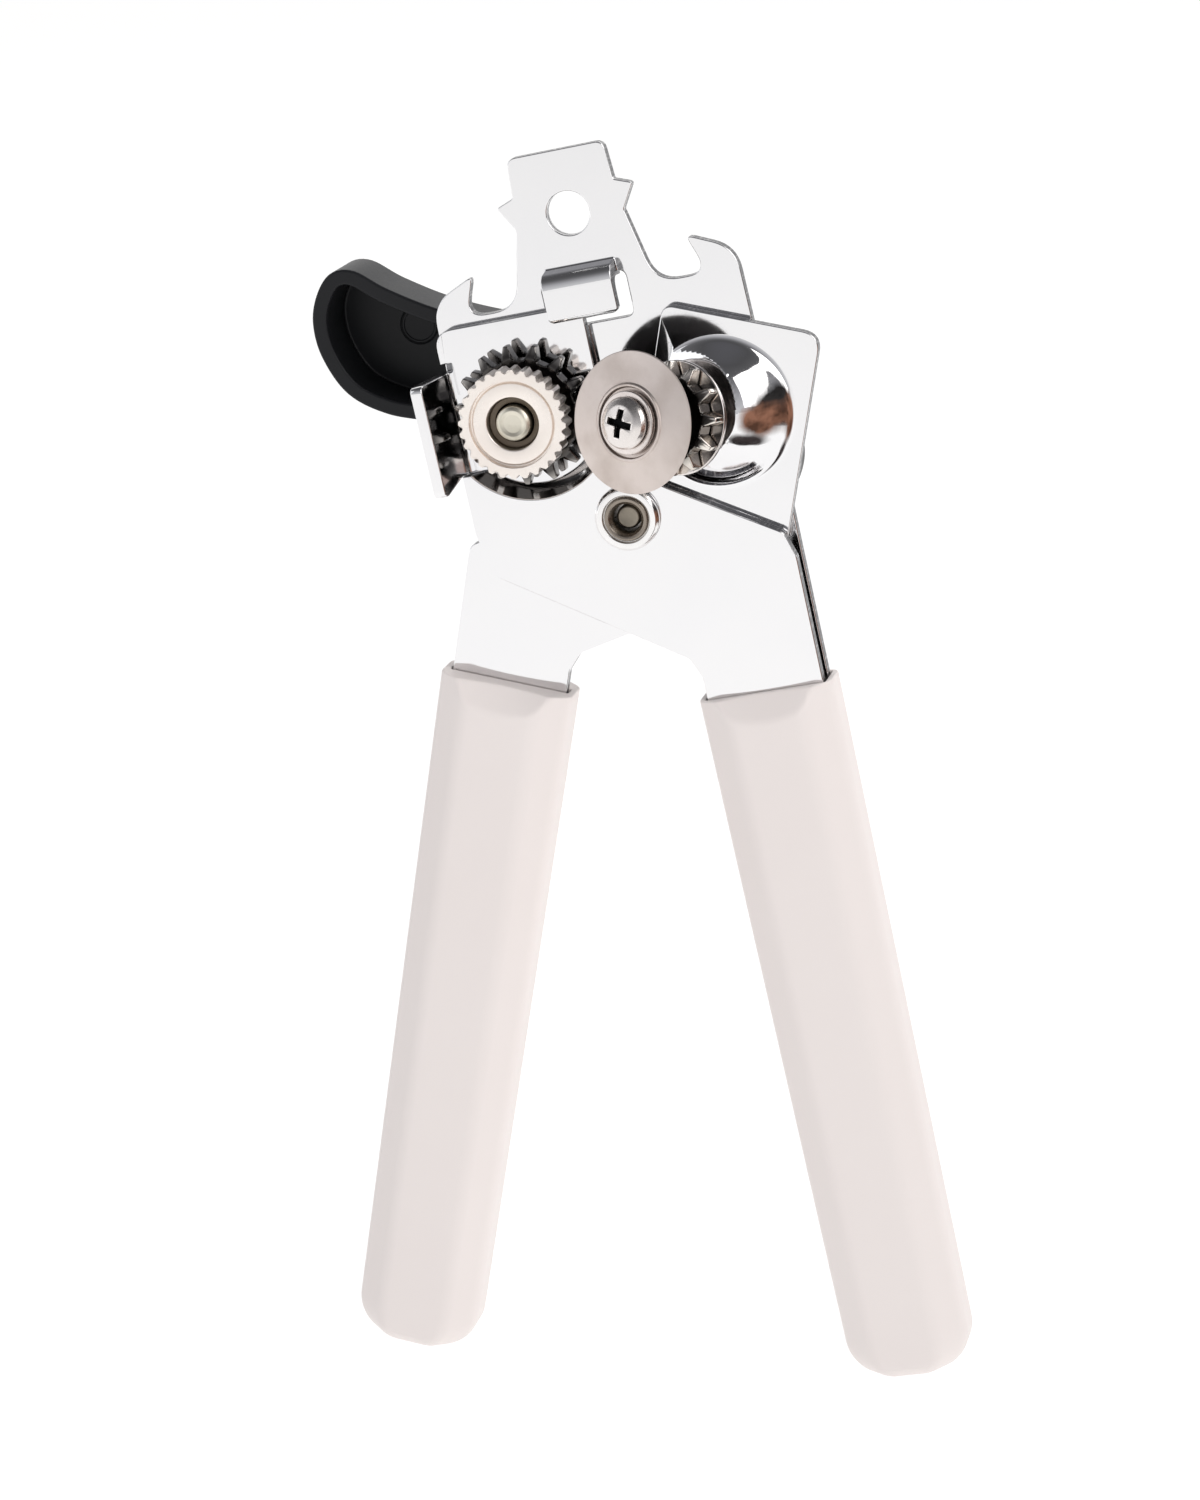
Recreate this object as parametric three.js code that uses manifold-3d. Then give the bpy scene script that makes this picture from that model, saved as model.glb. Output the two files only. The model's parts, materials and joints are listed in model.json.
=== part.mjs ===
// A manual can opener: two plates that swing on a hollow rivet, a toothed feed wheel driven by a
// knob, and a leaning cutter wheel geared to it. Millimetres, +Z up, the cutter side faces -Y.
// The plates are drawn in two flat frames that share the pivot: the "hand" frame (front plate,
// back plate and right grip) and the "arm" frame (cutter plate and left grip). Shut, they agree.
import * as THREE from "three";
import { mergeVertices } from "three/addons/utils/BufferGeometryUtils.js";
import Module from "manifold-3d";

const wasm = await Module();
wasm.setup();

// ---- fits ---------------------------------------------------------------------------------------
const GAP = 0.3; // between neighbouring faces
const RUNNING = 0.3; // radial gap of a bore round its pin

// ---- pose ---------------------------------------------------------------------------------------
const HALF_OPEN = 10.6; // degrees each handle stands off the middle line
const STOP_ANGLE = 0.8; // degrees left between the handles at the shut stop

// ---- sheet and layers, from the back plate forward ----------------------------------------------
const SHEET = 2;
const BACK_FRONT = 0; // front face of the back plate
const ARM_BACK = BACK_FRONT - GAP;
const ARM_FRONT = ARM_BACK - SHEET;
const RAISED_BACK = ARM_FRONT - GAP;
const RAISED_FRONT = RAISED_BACK - SHEET;
const BACK_REAR = BACK_FRONT + SHEET;

// ---- plates -------------------------------------------------------------------------------------
const PLATE_HALF = 26.2; // half width across both plates
const TANG_INNER = 6.4; // inner edge of a tang from the middle line
const TANG_DEEP = 60; // how far the tangs reach below the pivot
const JAW_TOP = 35.3; // top edge of the front plate and the cutter plate
const JAW_SPLIT = 0.7; // front plate's right edge, left of the middle line
const ARM_SPLIT = 0.1; // cutter plate's left edge, left of the middle line
const JAW_CORNER = 3.2;
// Lower outline shared by the plates: down the left side, in to a tang, and down round its foot.
const LOWER_EDGE = [
  [-PLATE_HALF, 1.2, 3],
  [-PLATE_HALF + 1.6, -6, 3],
  [5, -25.2, 2.5],
  [TANG_INNER, -28.6, 2],
  [TANG_INNER, -TANG_DEEP],
  [PLATE_HALF, -TANG_DEEP],
];
// The front plate's right shoulder, from the tang up to the split line.
const FRONT_SHOULDER = [
  [PLATE_HALF, -11.2, 2],
  [PLATE_HALF - 1.4, -6.8, 1.5],
  [7.4, 3.7, 1],
  [-JAW_SPLIT, 9.2, 1],
];
// The cutter plate's edge under the front plate, from the tang up round the pivot.
const ARM_NECK = [
  [-PLATE_HALF, -10.8, 2],
  [-22, -8.2, 3],
  [-12, -4, 2],
  [-7.6, 0, 3],
  [-5.5, 5.3, 3],
  [-ARM_SPLIT, 9, 2],
];
const SPACER_LONG = 24; // block between the two right-hand tangs
const SPACER_MARGIN = 1; // it stands this far inside the tangs' edges

// ---- back plate ---------------------------------------------------------------------------------
const HANG_HEIGHT = 50;
const HANG_RADIUS = 3.6;
const BACK_TOP = 60.4;
const BACK_TOP_HALF = 8.2;
const SPUR = [11.6, 52.9];
const WAIST = [9.2, 48.9];
const THROAT_ROUND = 5; // corner radius at the bottom of the throats
const THROAT_IN = [11.9, 36.4];
const THROAT_OUT = [20.6, 36.4];
const HOOK_TIP = [18.2, 43];
const HOOK_SHOULDER = [PLATE_HALF - 0.3, 39.6];
const TONGUE_HALF = 5.9;
const TONGUE_ROOT = 41.6;
const TONGUE_TOP = 40.9; // height at which its two outer faces would meet without the bend
const TONGUE_ROUND = 4; // outside radius of the bend
const TONGUE_TIP = 33.3;
const TONGUE_CORNER = 1.5;
const WINDOW_HALF = 7.2;
const WINDOW_LOW = 31.8;
const WINDOW_HIGH = 39.4;

// ---- can guide on the front plate ---------------------------------------------------------------
const GUIDE_LOW = 11.4;
const GUIDE_HIGH = 28.4;
const GUIDE_REACH = 10; // forward of the recessed face
const GUIDE_OUTER = PLATE_HALF + 1.2; // outer face of the guide from the middle line
const GUIDE_BEND = 1.2; // inside radius of its bend
const GUIDE_SPLAY = 10; // degrees it leans out from square to the plate
const GUIDE_DROP = 2; // its free end reaches this much lower than its bend

// ---- drive line of the feed wheel ---------------------------------------------------------------
const FEED = [-13.1, 19.9]; // hand frame
const RECESS_RADIUS = 12.2; // floor of the round recess
const RECESS_LOW = 8.6; // the recess runs out to the left from this far below the drive line
const SHAFT_RADIUS = 2.9;
const BUSH_RADIUS = 4.6;
const BUSH_LIP_RADIUS = 6.9;
const BUSH_LIP = 1.2;
const TOOTH_ROOT = 2.3; // width of a tooth at its root, both gears
const TOOTH_CREST = 0.8;
const FEED_TEETH = 15;
const FEED_TIP = 11.6;
const FEED_ROOT = 9.2;
const FEED_GEAR_BACK = -4.1;
const FEED_GEAR_THICK = 2.8;
const THRUST_RADIUS = 6.6;
const WHEEL_RADIUS = 9;
const WHEEL_GROOVE = 0.7;
const WHEEL_SERRATIONS = 28;
const WHEEL_FRONT = -13.6;
const WHEEL_RIM = 4.2; // width of the serrated rim
const WHEEL_HUB_RADIUS = 6.4;
const WHEEL_RING = 7.1;
const WHEEL_EYE = 3.6;
const WHEEL_DISH = 0.5;

// ---- knob ---------------------------------------------------------------------------------------
const KNOB_FRONT = 12;
const KNOB_BACK = 25;
const KNOB_WALL = 2.6;
const KNOB_FLOOR = 3;
const KNOB_HUB_RADIUS = 8.4;
const INSERT_RADIUS = 5.2;
const INSERT_BACK = 19;
const DOT_RADIUS = 2.2;
const DOT_PLACE = [-25, 9.5];
const HALF_KNOB = [
  [-8, 11.6],
  [-18.7, 14],
  [-27.5, 17.4],
  [-33.2, 20.4],
  [-37.2, 20],
  [-39.8, 16.6],
  [-40.9, 11.6],
  [-39.6, 5.6],
  [-35.4, -0.6],
  [-28.6, -4],
  [-19.5, -5.6],
  [-8, -9.2],
];

// ---- cutter, on an axis that leans toward the feed wheel ----------------------------------------
const LEAN = 24; // degrees off the plate's normal
const LEAN_UP = 8; // the lean points this far above sideways, in the arm frame
const CUTTER = [5.33, -9.2, 18.8]; // middle of the cutter gear, arm frame
const CUTTER_TEETH = 12;
const CUTTER_TIP = 9.3;
const CUTTER_ROOT = 7;
const CUTTER_GEAR_THICK = 2.8;
const FLANGE_RADIUS = 9.3;
const FLANGE_THICK = 0.8;
const SPRING_RADIUS = 5;
const SPRING_THICK = 0.6;
const STUD_RADIUS = 2.6;
const COLLAR_RADIUS = 4;
const SLEEVE_RADIUS = 4.3;
const BLADE_RADIUS = 11.4;
const BLADE_PLANE = 10.6; // edge of the cutter wheel, forward of the gear's middle
const BLADE_HUB = 1.7;
const EYE_RADIUS = 5.8;
const WASHER_RADIUS = 5.1;
const WASHER_THICK = 0.9;
const SCREW_RADIUS = 4.2;
const SCREW_HEAD = 1.9;
const SCREW_SHANK = 1.3;
const SCREW_LONG = 7;
const CROSS_LONG = 4.6;
const CROSS_WIDE = 1.1;
const CROSS_DEEP = 1.2;

// ---- dome pressed forward in the cutter plate, cut off flat where the stud sits -----------------
const DOME = [11.8, 19.7]; // its middle, arm frame
const DOME_WALL = 1.4;
const DOME_RISE = [
  [12.8, 0],
  [12.1, 0.12],
  [11.4, 0.7],
  [10.2, 2],
  [8.5, 3.6],
  [6.3, 5.1],
  [3.5, 6.2],
  [0, 6.7],
]; // radius and height above the front face
const DOME_HOLLOW = [
  [11.5, -2.2],
  [10.7, -1.2],
  [9.5, 0.5],
  [7.9, 2.1],
  [5.8, 3.6],
  [3.3, 4.6],
  [0, 5],
]; // the same for the rear side
const SEAT = 4.7; // the flat's distance behind the gear's middle

// ---- pivot --------------------------------------------------------------------------------------
const RIVET_HEAD = 5.4;
const RIVET_TUBE = 3.3;
const RIVET_BORE = 2.35;
const RIVET_RING = 3.8;
const CORE_RADIUS = 2;
const PIVOT_WASHER = 6.3;
const PIVOT_WASHER_THICK = 0.8;

// ---- grips --------------------------------------------------------------------------------------
const GRIP_MIDDLE = (PLATE_HALF + TANG_INNER) / 2; // grip's middle line from the pivot, across
const GRIP_WALL = 1.2; // beside the tang's pocket
const GRIP_WIDE = PLATE_HALF - TANG_INNER + 2 * (GAP + GRIP_WALL);
const GRIP_TAPER = 0.7; // narrowing on each side at the lower end
const GRIP_TOP = 32.4;
const GRIP_END = 155;
const GRIP_FRONT = -8.3;
const GRIP_BACK = 5.7;
const GRIP_FACE = 12.4; // width of the flat strip
const GRIP_SIDE = 7; // depth of the side flats
const GRIP_CORNER = 6.5;
const GRIP_FLARE = 2; // corner radius along the side flats
const GRIP_CROWN = 3; // corner radius along the flat strip
const SCALLOP_TALL = 4.4; // slope at the top of the front face
const SCALLOP_DEEP = 2.5;

// ---- helpers ------------------------------------------------------------------------------------
const rad = THREE.MathUtils.degToRad;

// A closed three.js geometry as a solid, turned to face out.
function solid(geometry) {
  geometry.deleteAttribute("normal");
  geometry.deleteAttribute("uv");
  const merged = mergeVertices(geometry, 1e-4);
  const index = Uint32Array.from(merged.index.array);
  const mesh = { numProp: 3, vertProperties: merged.attributes.position.array, triVerts: index };
  const made = new wasm.Manifold(new wasm.Mesh(mesh));
  if (made.volume() > 0) return made;
  return new wasm.Manifold(new wasm.Mesh({ ...mesh, triVerts: index.reverse() }));
}

// A flat outline of [across, up, corner radius] points as a shape with rounded corners.
function outline(points) {
  const shape = new THREE.Shape();
  const count = points.length;
  points.forEach(([x, y, radius = 0], i) => {
    const here = new THREE.Vector2(x, y);
    if (!radius) {
      if (i === 0) shape.moveTo(x, y);
      else shape.lineTo(x, y);
      return;
    }
    const last = new THREE.Vector2(...points[(i + count - 1) % count]).sub(here);
    const next = new THREE.Vector2(...points[(i + 1) % count]).sub(here);
    const turn = Math.abs(last.angleTo(next));
    const back = Math.min(radius / Math.tan(turn / 2), last.length() * 0.48, next.length() * 0.48);
    const enter = last.setLength(back).add(here);
    const leave = next.setLength(back).add(here);
    if (i === 0) shape.moveTo(enter.x, enter.y);
    else shape.lineTo(enter.x, enter.y);
    shape.quadraticCurveTo(x, y, leave.x, leave.y);
  });
  shape.closePath();
  return shape;
}

// A flat shape (across, up) made solid between two depths along Y.
function slab(shape, front, back, curveSegments = 5) {
  const options = { depth: back - front, bevelEnabled: false, curveSegments };
  const geometry = new THREE.ExtrudeGeometry(shape, options);
  geometry.rotateX(Math.PI / 2);
  geometry.translate(0, back, 0);
  return solid(geometry);
}

// A profile of [radius, depth] points turned about the Y axis.
function turned(profile, segments = 24) {
  const points = profile.map(([radius, depth]) => new THREE.Vector2(radius, depth));
  return solid(new THREE.LatheGeometry(points, segments));
}

// A ring or washer about the Y axis.
function ring(outer, inner, front, back, segments = 28) {
  const corners = [[inner, front], [outer, front], [outer, back], [inner, back], [inner, front]];
  return turned(corners, segments);
}

// A plain round bar about the Y axis.
function bar(radius, front, back, segments = 28) {
  return turned([[0, front], [radius, front], [radius, back], [0, back]], segments);
}

function box(wide, deep, tall) {
  return solid(new THREE.BoxGeometry(wide, deep, tall));
}

function moved(body, x, y, z) {
  return body.translate([x, y, z]);
}

// Turns a body about the Y axis, clockwise as seen from the front.
function swung(body, degrees) {
  return body.transform(new THREE.Matrix4().makeRotationY(rad(degrees)).elements);
}

// Turns a drawing of (depth, up) into place: its across axis becomes depth.
const QUARTER = new THREE.Matrix4().makeRotationZ(Math.PI / 2).elements;

const inHand = (body) => swung(body, -HALF_OPEN);
const inArm = (body) => swung(body, HALF_OPEN);
const onFeed = (body) => inHand(moved(body, FEED[0], 0, FEED[1]));

const side = Math.sin(rad(LEAN));
const cutterAxis = new THREE.Vector3(
  -side * Math.cos(rad(LEAN_UP)),
  -Math.cos(rad(LEAN)),
  side * Math.sin(rad(LEAN_UP)),
);
const cutterTurn = new THREE.Quaternion().setFromUnitVectors(
  new THREE.Vector3(0, -1, 0),
  cutterAxis,
);

// Places a body drawn about the Y axis on the leaning cutter axis, in the arm frame.
function leaned(body) {
  const place = new THREE.Matrix4().makeRotationFromQuaternion(cutterTurn);
  place.setPosition(...CUTTER);
  return body.transform(place.elements);
}

// A gear outline with straight-sided teeth, one tooth pointing along `first` (radians).
function gearShape(teeth, tip, root, first) {
  const shape = new THREE.Shape();
  const pitch = (2 * Math.PI) / teeth;
  for (let i = 0; i < teeth; i += 1) {
    const middle = first + i * pitch;
    const foot = TOOTH_ROOT / 2 / root;
    const crest = TOOTH_CREST / 2 / tip;
    const corners = [[root, -foot], [tip, -crest], [tip, crest], [root, foot]];
    corners.forEach(([radius, offset], k) => {
      const x = radius * Math.cos(middle + offset);
      const y = radius * Math.sin(middle + offset);
      if (i === 0 && k === 0) shape.moveTo(x, y);
      else shape.lineTo(x, y);
    });
  }
  shape.closePath();
  return shape;
}

function knurlShape(radius, depth, count) {
  const shape = new THREE.Shape();
  const pitch = (2 * Math.PI) / count;
  for (let i = 0; i < count; i += 1) {
    const start = i * pitch;
    const steps = [[radius, 0], [radius, 0.3], [radius - depth, 0.62]];
    steps.forEach(([r, part], k) => {
      const angle = start + part * pitch;
      const x = r * Math.cos(angle);
      const y = r * Math.sin(angle);
      if (i === 0 && k === 0) shape.moveTo(x, y);
      else shape.lineTo(x, y);
    });
  }
  shape.closePath();
  return shape;
}

// ---- plates -------------------------------------------------------------------------------------

const RAMP = ARM_BACK - RAISED_BACK; // depth of the recess
const RAMP_SHIFT = SHEET * (Math.SQRT2 - 1); // widens the recess so the ramp keeps its thickness

// The same outline on the other side of the middle line.
function mirrored(points) {
  return points.map(([x, y, radius]) => [-x, y, radius]);
}

// Everything inside the recess, from a depth forward; `shift` widens it for the rear face.
function recess(shift, floor) {
  const low = RECESS_RADIUS + shift;
  const deep = RAMP + 1;
  const reach = 40;
  const cone = turned([[0, floor - deep], [low + deep, floor - deep], [low, floor], [0, floor]], 48);
  const block = box(reach, deep, reach);
  const above = moved(block, -low + reach / 2, floor - deep / 2, reach / 2);
  const beside = moved(block, -reach / 2, floor - deep / 2, reach / 2 - RECESS_LOW);
  return moved(cone.add(above).add(beside), FEED[0], 0, FEED[1]);
}

function frontPlate() {
  const edge = outline([
    ...LOWER_EDGE,
    ...FRONT_SHOULDER,
    [-JAW_SPLIT, JAW_TOP, 1],
    [-PLATE_HALF, JAW_TOP, JAW_CORNER],
    [-PLATE_HALF, GUIDE_HIGH],
  ]);
  const blank = slab(edge, RAISED_FRONT, ARM_BACK);
  const hollow = recess(0, ARM_FRONT);
  const keep = recess(RAMP_SHIFT, ARM_BACK);
  const rear = moved(box(120, RAMP, 160), 0, ARM_BACK - RAMP / 2 + 0.001, -30);
  const pivotHole = bar(RIVET_TUBE + RUNNING, RAISED_FRONT - 1, ARM_BACK + 1);
  const bushHole = moved(bar(BUSH_RADIUS + RUNNING, -6, 1), FEED[0], 0, FEED[1]);
  const notch = moved(box(3, 3 * SHEET, 1.4), -PLATE_HALF + 0.4, ARM_FRONT, GUIDE_HIGH + 0.7);
  const sheet = blank.subtract(hollow).subtract(rear.subtract(keep));
  const withGuide = sheet.add(canGuide());
  return inHand(withGuide.subtract(pivotHole).subtract(bushHole).subtract(notch));
}

// The strip bent forward off the left side, past the edge of the feed wheel.
function canGuide() {
  const inner = -GUIDE_OUTER + SHEET;
  const end = ARM_FRONT - GUIDE_REACH;
  const lean = GUIDE_REACH * Math.tan(rad(GUIDE_SPLAY));
  const low = GUIDE_LOW - GUIDE_DROP;
  const section = outline([
    [inner + 2.5, ARM_BACK],
    [-GUIDE_OUTER, ARM_BACK, GUIDE_BEND + SHEET],
    [-GUIDE_OUTER - lean, end],
    [inner - lean, end],
    [inner, ARM_FRONT, GUIDE_BEND],
    [inner + 2.5, ARM_FRONT],
  ]);
  const options = { depth: GUIDE_HIGH - low, bevelEnabled: false, curveSegments: 4 };
  const strip = new THREE.ExtrudeGeometry(section, options);
  strip.translate(0, 0, low);
  const face = outline([
    [1, GUIDE_LOW],
    [1, GUIDE_HIGH + 1],
    [-5, GUIDE_HIGH + 1],
    [-5, GUIDE_HIGH, 0.5],
    [end, GUIDE_HIGH, 1.2],
    [end, low, 1.2],
    [-5, GUIDE_LOW, 1],
  ]);
  const side = slab(face, -5, 5).transform(QUARTER);
  return solid(strip).intersect(moved(side, -GUIDE_OUTER, 0, 0));
}

// A domed body under the plate's front face, kept only behind a plane across the cutter axis.
function dome(rise, plane) {
  const profile = rise.map(([radius, height]) => [radius, ARM_FRONT - height]);
  const base = profile[0][1] > ARM_FRONT ? ARM_BACK + 1 : ARM_BACK;
  const full = turned([[0, base], [profile[0][0], base], ...profile], 40);
  const behind = leaned(moved(box(80, 60, 80), 0, plane + 30, 0));
  return moved(full, DOME[0], 0, DOME[1]).intersect(behind);
}

function cutterPlate() {
  const edge = outline([
    [-ARM_SPLIT, JAW_TOP, 2],
    [PLATE_HALF, JAW_TOP, JAW_CORNER],
    ...mirrored(LOWER_EDGE),
    ...ARM_NECK,
  ]);
  const sheet = slab(edge, ARM_FRONT, ARM_BACK);
  const raised = dome(DOME_RISE, SEAT);
  const hollow = dome(DOME_HOLLOW, SEAT + DOME_WALL);
  const kept = raised.intersect(moved(box(40, 40, 40), 20 - ARM_SPLIT, 0, 20));
  const pivotHole = bar(RIVET_TUBE + RUNNING, ARM_FRONT - 1, ARM_BACK + 1);
  const studHole = leaned(bar(STUD_RADIUS, SEAT - 1, SEAT + DOME_WALL + 1));
  return inArm(sheet.add(kept).subtract(hollow).subtract(pivotHole).subtract(studHole));
}

function backPlate() {
  const rightHalf = [
    [BACK_TOP_HALF, BACK_TOP, 1.6],
    [BACK_TOP_HALF + 0.4, 54, 0.6],
    [...SPUR, 0.5],
    [...WAIST, 1],
    [...THROAT_IN, THROAT_ROUND],
    [...THROAT_OUT, THROAT_ROUND],
    [...HOOK_TIP, 0.6],
    [...HOOK_SHOULDER, 6],
    [PLATE_HALF, 26],
  ];
  const edge = outline([...LOWER_EDGE, ...rightHalf.slice().reverse(), ...mirrored(rightHalf)]);
  const sheet = slab(edge, BACK_FRONT, BACK_REAR);
  const hang = moved(bar(HANG_RADIUS, -1, 3), 0, 0, HANG_HEIGHT);
  const opening = box(2 * WINDOW_HALF, 3 * SHEET, WINDOW_HIGH - WINDOW_LOW);
  const window = moved(opening, 0, BACK_FRONT + SHEET / 2, (WINDOW_HIGH + WINDOW_LOW) / 2);
  const pivotHole = bar(RIVET_TUBE + RUNNING, -1, 3);
  const bushHole = moved(bar(BUSH_RADIUS + RUNNING, -6, 3), FEED[0], 0, FEED[1]);
  const pierced = sheet.subtract(hang).subtract(window).subtract(pivotHole);
  return inHand(pierced.subtract(bushHole).add(tongue()));
}

// The tongue pressed forward out of the back plate, over the top edge of the front plate.
function tongue() {
  const front = RAISED_FRONT;
  const back = RAISED_BACK;
  const flat = outline([
    [BACK_REAR, TONGUE_ROOT],
    [BACK_FRONT, TONGUE_ROOT],
    [front, TONGUE_TOP, TONGUE_ROUND],
    [front, TONGUE_TIP, 0.8],
    [back, TONGUE_TIP, 0.6],
    [back, TONGUE_TOP - SHEET, TONGUE_ROUND - SHEET],
    [BACK_REAR, TONGUE_ROOT - 3],
  ]);
  const strip = slab(flat, -TONGUE_HALF, TONGUE_HALF).transform(QUARTER);
  const above = TONGUE_ROOT + 1;
  const face = outline([
    [-TONGUE_HALF - 1, above],
    [-TONGUE_HALF, TONGUE_TIP, TONGUE_CORNER],
    [TONGUE_HALF, TONGUE_TIP, TONGUE_CORNER],
    [TONGUE_HALF + 1, above],
  ]);
  return strip.intersect(slab(face, front - 1, BACK_REAR + 1));
}

// A block that holds the two right-hand tangs apart, inside the mouth of the grip.
function tangSpacer() {
  const wide = PLATE_HALF - TANG_INNER - 2 * SPACER_MARGIN;
  const front = RAISED_BACK + GAP;
  const back = BACK_FRONT - GAP;
  const middle = (PLATE_HALF + TANG_INNER) / 2;
  const down = (GRIP_TOP + TANG_DEEP) / 2;
  return inHand(moved(box(wide, back - front, SPACER_LONG), middle, (front + back) / 2, -down));
}

// ---- pivot --------------------------------------------------------------------------------------

const RIVET_REAR = BACK_REAR + GAP + PIVOT_WASHER_THICK + GAP;

function pivotRivet() {
  const seat = RAISED_FRONT - GAP;
  return turned([
    [RIVET_BORE, seat - 0.9],
    [RIVET_BORE + 0.6, seat - 1.7],
    [RIVET_RING - 0.2, seat - 1.4],
    [RIVET_RING, seat - 1],
    [RIVET_RING + 0.5, seat - 1.4],
    [RIVET_HEAD - 0.5, seat - 1.2],
    [RIVET_HEAD, seat - 0.6],
    [RIVET_HEAD, seat],
    [RIVET_TUBE, seat],
    [RIVET_TUBE, RIVET_REAR],
    [RIVET_HEAD - 0.6, RIVET_REAR],
    [RIVET_HEAD - 0.6, RIVET_REAR + 0.6],
    [RIVET_TUBE + 0.2, RIVET_REAR + 1.1],
    [RIVET_BORE, RIVET_REAR + 0.6],
    [RIVET_BORE, seat - 0.9],
  ], 32);
}

function pivotCore() {
  return turned([
    [0, RAISED_FRONT + 0.1],
    [CORE_RADIUS - 0.4, RAISED_FRONT + 0.2],
    [CORE_RADIUS, RAISED_FRONT + 0.6],
    [CORE_RADIUS, RIVET_REAR],
    [0, RIVET_REAR],
  ]);
}

function pivotWasher() {
  const front = BACK_REAR + GAP;
  return ring(PIVOT_WASHER, RIVET_TUBE + RUNNING, front, front + PIVOT_WASHER_THICK, 36);
}

// ---- feed drive ---------------------------------------------------------------------------------

const FEED_BORE = SHAFT_RADIUS + RUNNING;
const BUSH_REAR = BACK_REAR + GAP + BUSH_LIP;
const KNOB_WASHER_BACK = BUSH_REAR + GAP + 0.6;
const GEAR_FRONT = FEED_GEAR_BACK - FEED_GEAR_THICK;

// Direction from the feed axis to the cutter gear when shut, in the hand frame.
const stop = rad(STOP_ANGLE);
const shutCutter = [
  CUTTER[0] * Math.cos(stop) + CUTTER[2] * Math.sin(stop),
  CUTTER[2] * Math.cos(stop) - CUTTER[0] * Math.sin(stop),
];
const feedToCutter = Math.atan2(shutCutter[1] - FEED[1], shutCutter[0] - FEED[0]);

function feedBush() {
  const bore = FEED_BORE;
  const lip = BACK_REAR + GAP;
  return onFeed(turned([
    [bore, ARM_FRONT],
    [BUSH_RADIUS, ARM_FRONT],
    [BUSH_RADIUS, lip],
    [BUSH_LIP_RADIUS, lip],
    [BUSH_LIP_RADIUS, BUSH_REAR],
    [bore, BUSH_REAR],
    [bore, ARM_FRONT],
  ]));
}

function thrustWasher() {
  return onFeed(ring(THRUST_RADIUS, FEED_BORE, ARM_FRONT - GAP - 1, ARM_FRONT - GAP));
}

function feedGear() {
  const shape = gearShape(FEED_TEETH, FEED_TIP, FEED_ROOT, feedToCutter);
  const gear = slab(shape, GEAR_FRONT, FEED_GEAR_BACK);
  return onFeed(gear.subtract(bar(FEED_BORE, GEAR_FRONT - 1, FEED_GEAR_BACK + 1)));
}

function feedWheel() {
  const rimBack = WHEEL_FRONT + WHEEL_RIM;
  const rim = slab(knurlShape(WHEEL_RADIUS, WHEEL_GROOVE, WHEEL_SERRATIONS), WHEEL_FRONT, rimBack);
  const hub = bar(WHEEL_HUB_RADIUS, rimBack - 1, GEAR_FRONT - GAP);
  const face = turned([
    [0, WHEEL_FRONT - 1],
    [WHEEL_RING, WHEEL_FRONT - 1],
    [WHEEL_RING, WHEEL_FRONT],
    [WHEEL_RING - WHEEL_DISH, WHEEL_FRONT + WHEEL_DISH],
    [WHEEL_EYE + 1, WHEEL_FRONT + WHEEL_DISH],
    [WHEEL_EYE, WHEEL_FRONT + WHEEL_DISH + 0.8],
    [0, WHEEL_FRONT + WHEEL_DISH + 0.8],
  ], 40);
  const bore = bar(FEED_BORE, WHEEL_FRONT - 2, GEAR_FRONT + 2);
  return onFeed(rim.add(hub).subtract(face).subtract(bore));
}

function feedShaft() {
  const tip = WHEEL_FRONT + WHEEL_DISH;
  return onFeed(turned([
    [0, tip - 0.3],
    [SHAFT_RADIUS - 0.7, tip - 0.1],
    [SHAFT_RADIUS, tip + 0.5],
    [SHAFT_RADIUS, INSERT_BACK - 1],
    [0, INSERT_BACK - 1],
  ]));
}

function knobWasher() {
  return onFeed(ring(BUSH_LIP_RADIUS - 0.4, FEED_BORE, BUSH_REAR + GAP, KNOB_WASHER_BACK));
}

function knobInsert() {
  return onFeed(ring(INSERT_RADIUS, FEED_BORE, KNOB_WASHER_BACK + GAP, INSERT_BACK, 24));
}

function knobShape(inset) {
  const left = HALF_KNOB.map(([x, y]) => new THREE.Vector2(x, y));
  const right = left.map((point) => point.clone().negate());
  const loop = new THREE.SplineCurve([...left, ...right, left[0]]).getSpacedPoints(60);
  loop.pop();
  if (!inset) return new THREE.Shape(loop);
  const inner = loop.map((point, i) => {
    const before = loop[(i + loop.length - 1) % loop.length];
    const after = loop[(i + 1) % loop.length];
    const along = after.clone().sub(before).normalize();
    return new THREE.Vector2(point.x - along.y * inset, point.y + along.x * inset);
  });
  return new THREE.Shape(inner);
}

function knob() {
  const bodyOf = (inset, front, back) => slab(knobShape(inset), front, back);
  const stepBack = KNOB_BACK - 1.6;
  const block = bodyOf(0, KNOB_FRONT, stepBack).add(bodyOf(1.4, stepBack - 0.1, KNOB_BACK));
  const hollow = bodyOf(KNOB_WALL, KNOB_FRONT - 1, KNOB_BACK - KNOB_FLOOR);
  const hub = bar(KNOB_HUB_RADIUS, KNOB_WASHER_BACK + GAP, KNOB_BACK - 1, 36);
  const bore = bar(INSERT_RADIUS + RUNNING, 0, INSERT_BACK + GAP, 24);
  const floor = KNOB_BACK - KNOB_FLOOR;
  const dot = bar(DOT_RADIUS, floor - 1.5, floor + 1, 20);
  const dots = moved(dot, DOT_PLACE[0], 0, DOT_PLACE[1]).add(
    moved(dot, -DOT_PLACE[0], 0, -DOT_PLACE[1]),
  );
  const made = block.subtract(hollow).add(hub).add(dots).subtract(bore);
  // The knob is drawn as it stands at rest, so only its place is turned with the plates.
  const place = new THREE.Vector3(FEED[0], 0, FEED[1]);
  place.applyAxisAngle(new THREE.Vector3(0, 1, 0), rad(-HALF_OPEN));
  return moved(made, ...place.toArray());
}

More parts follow.
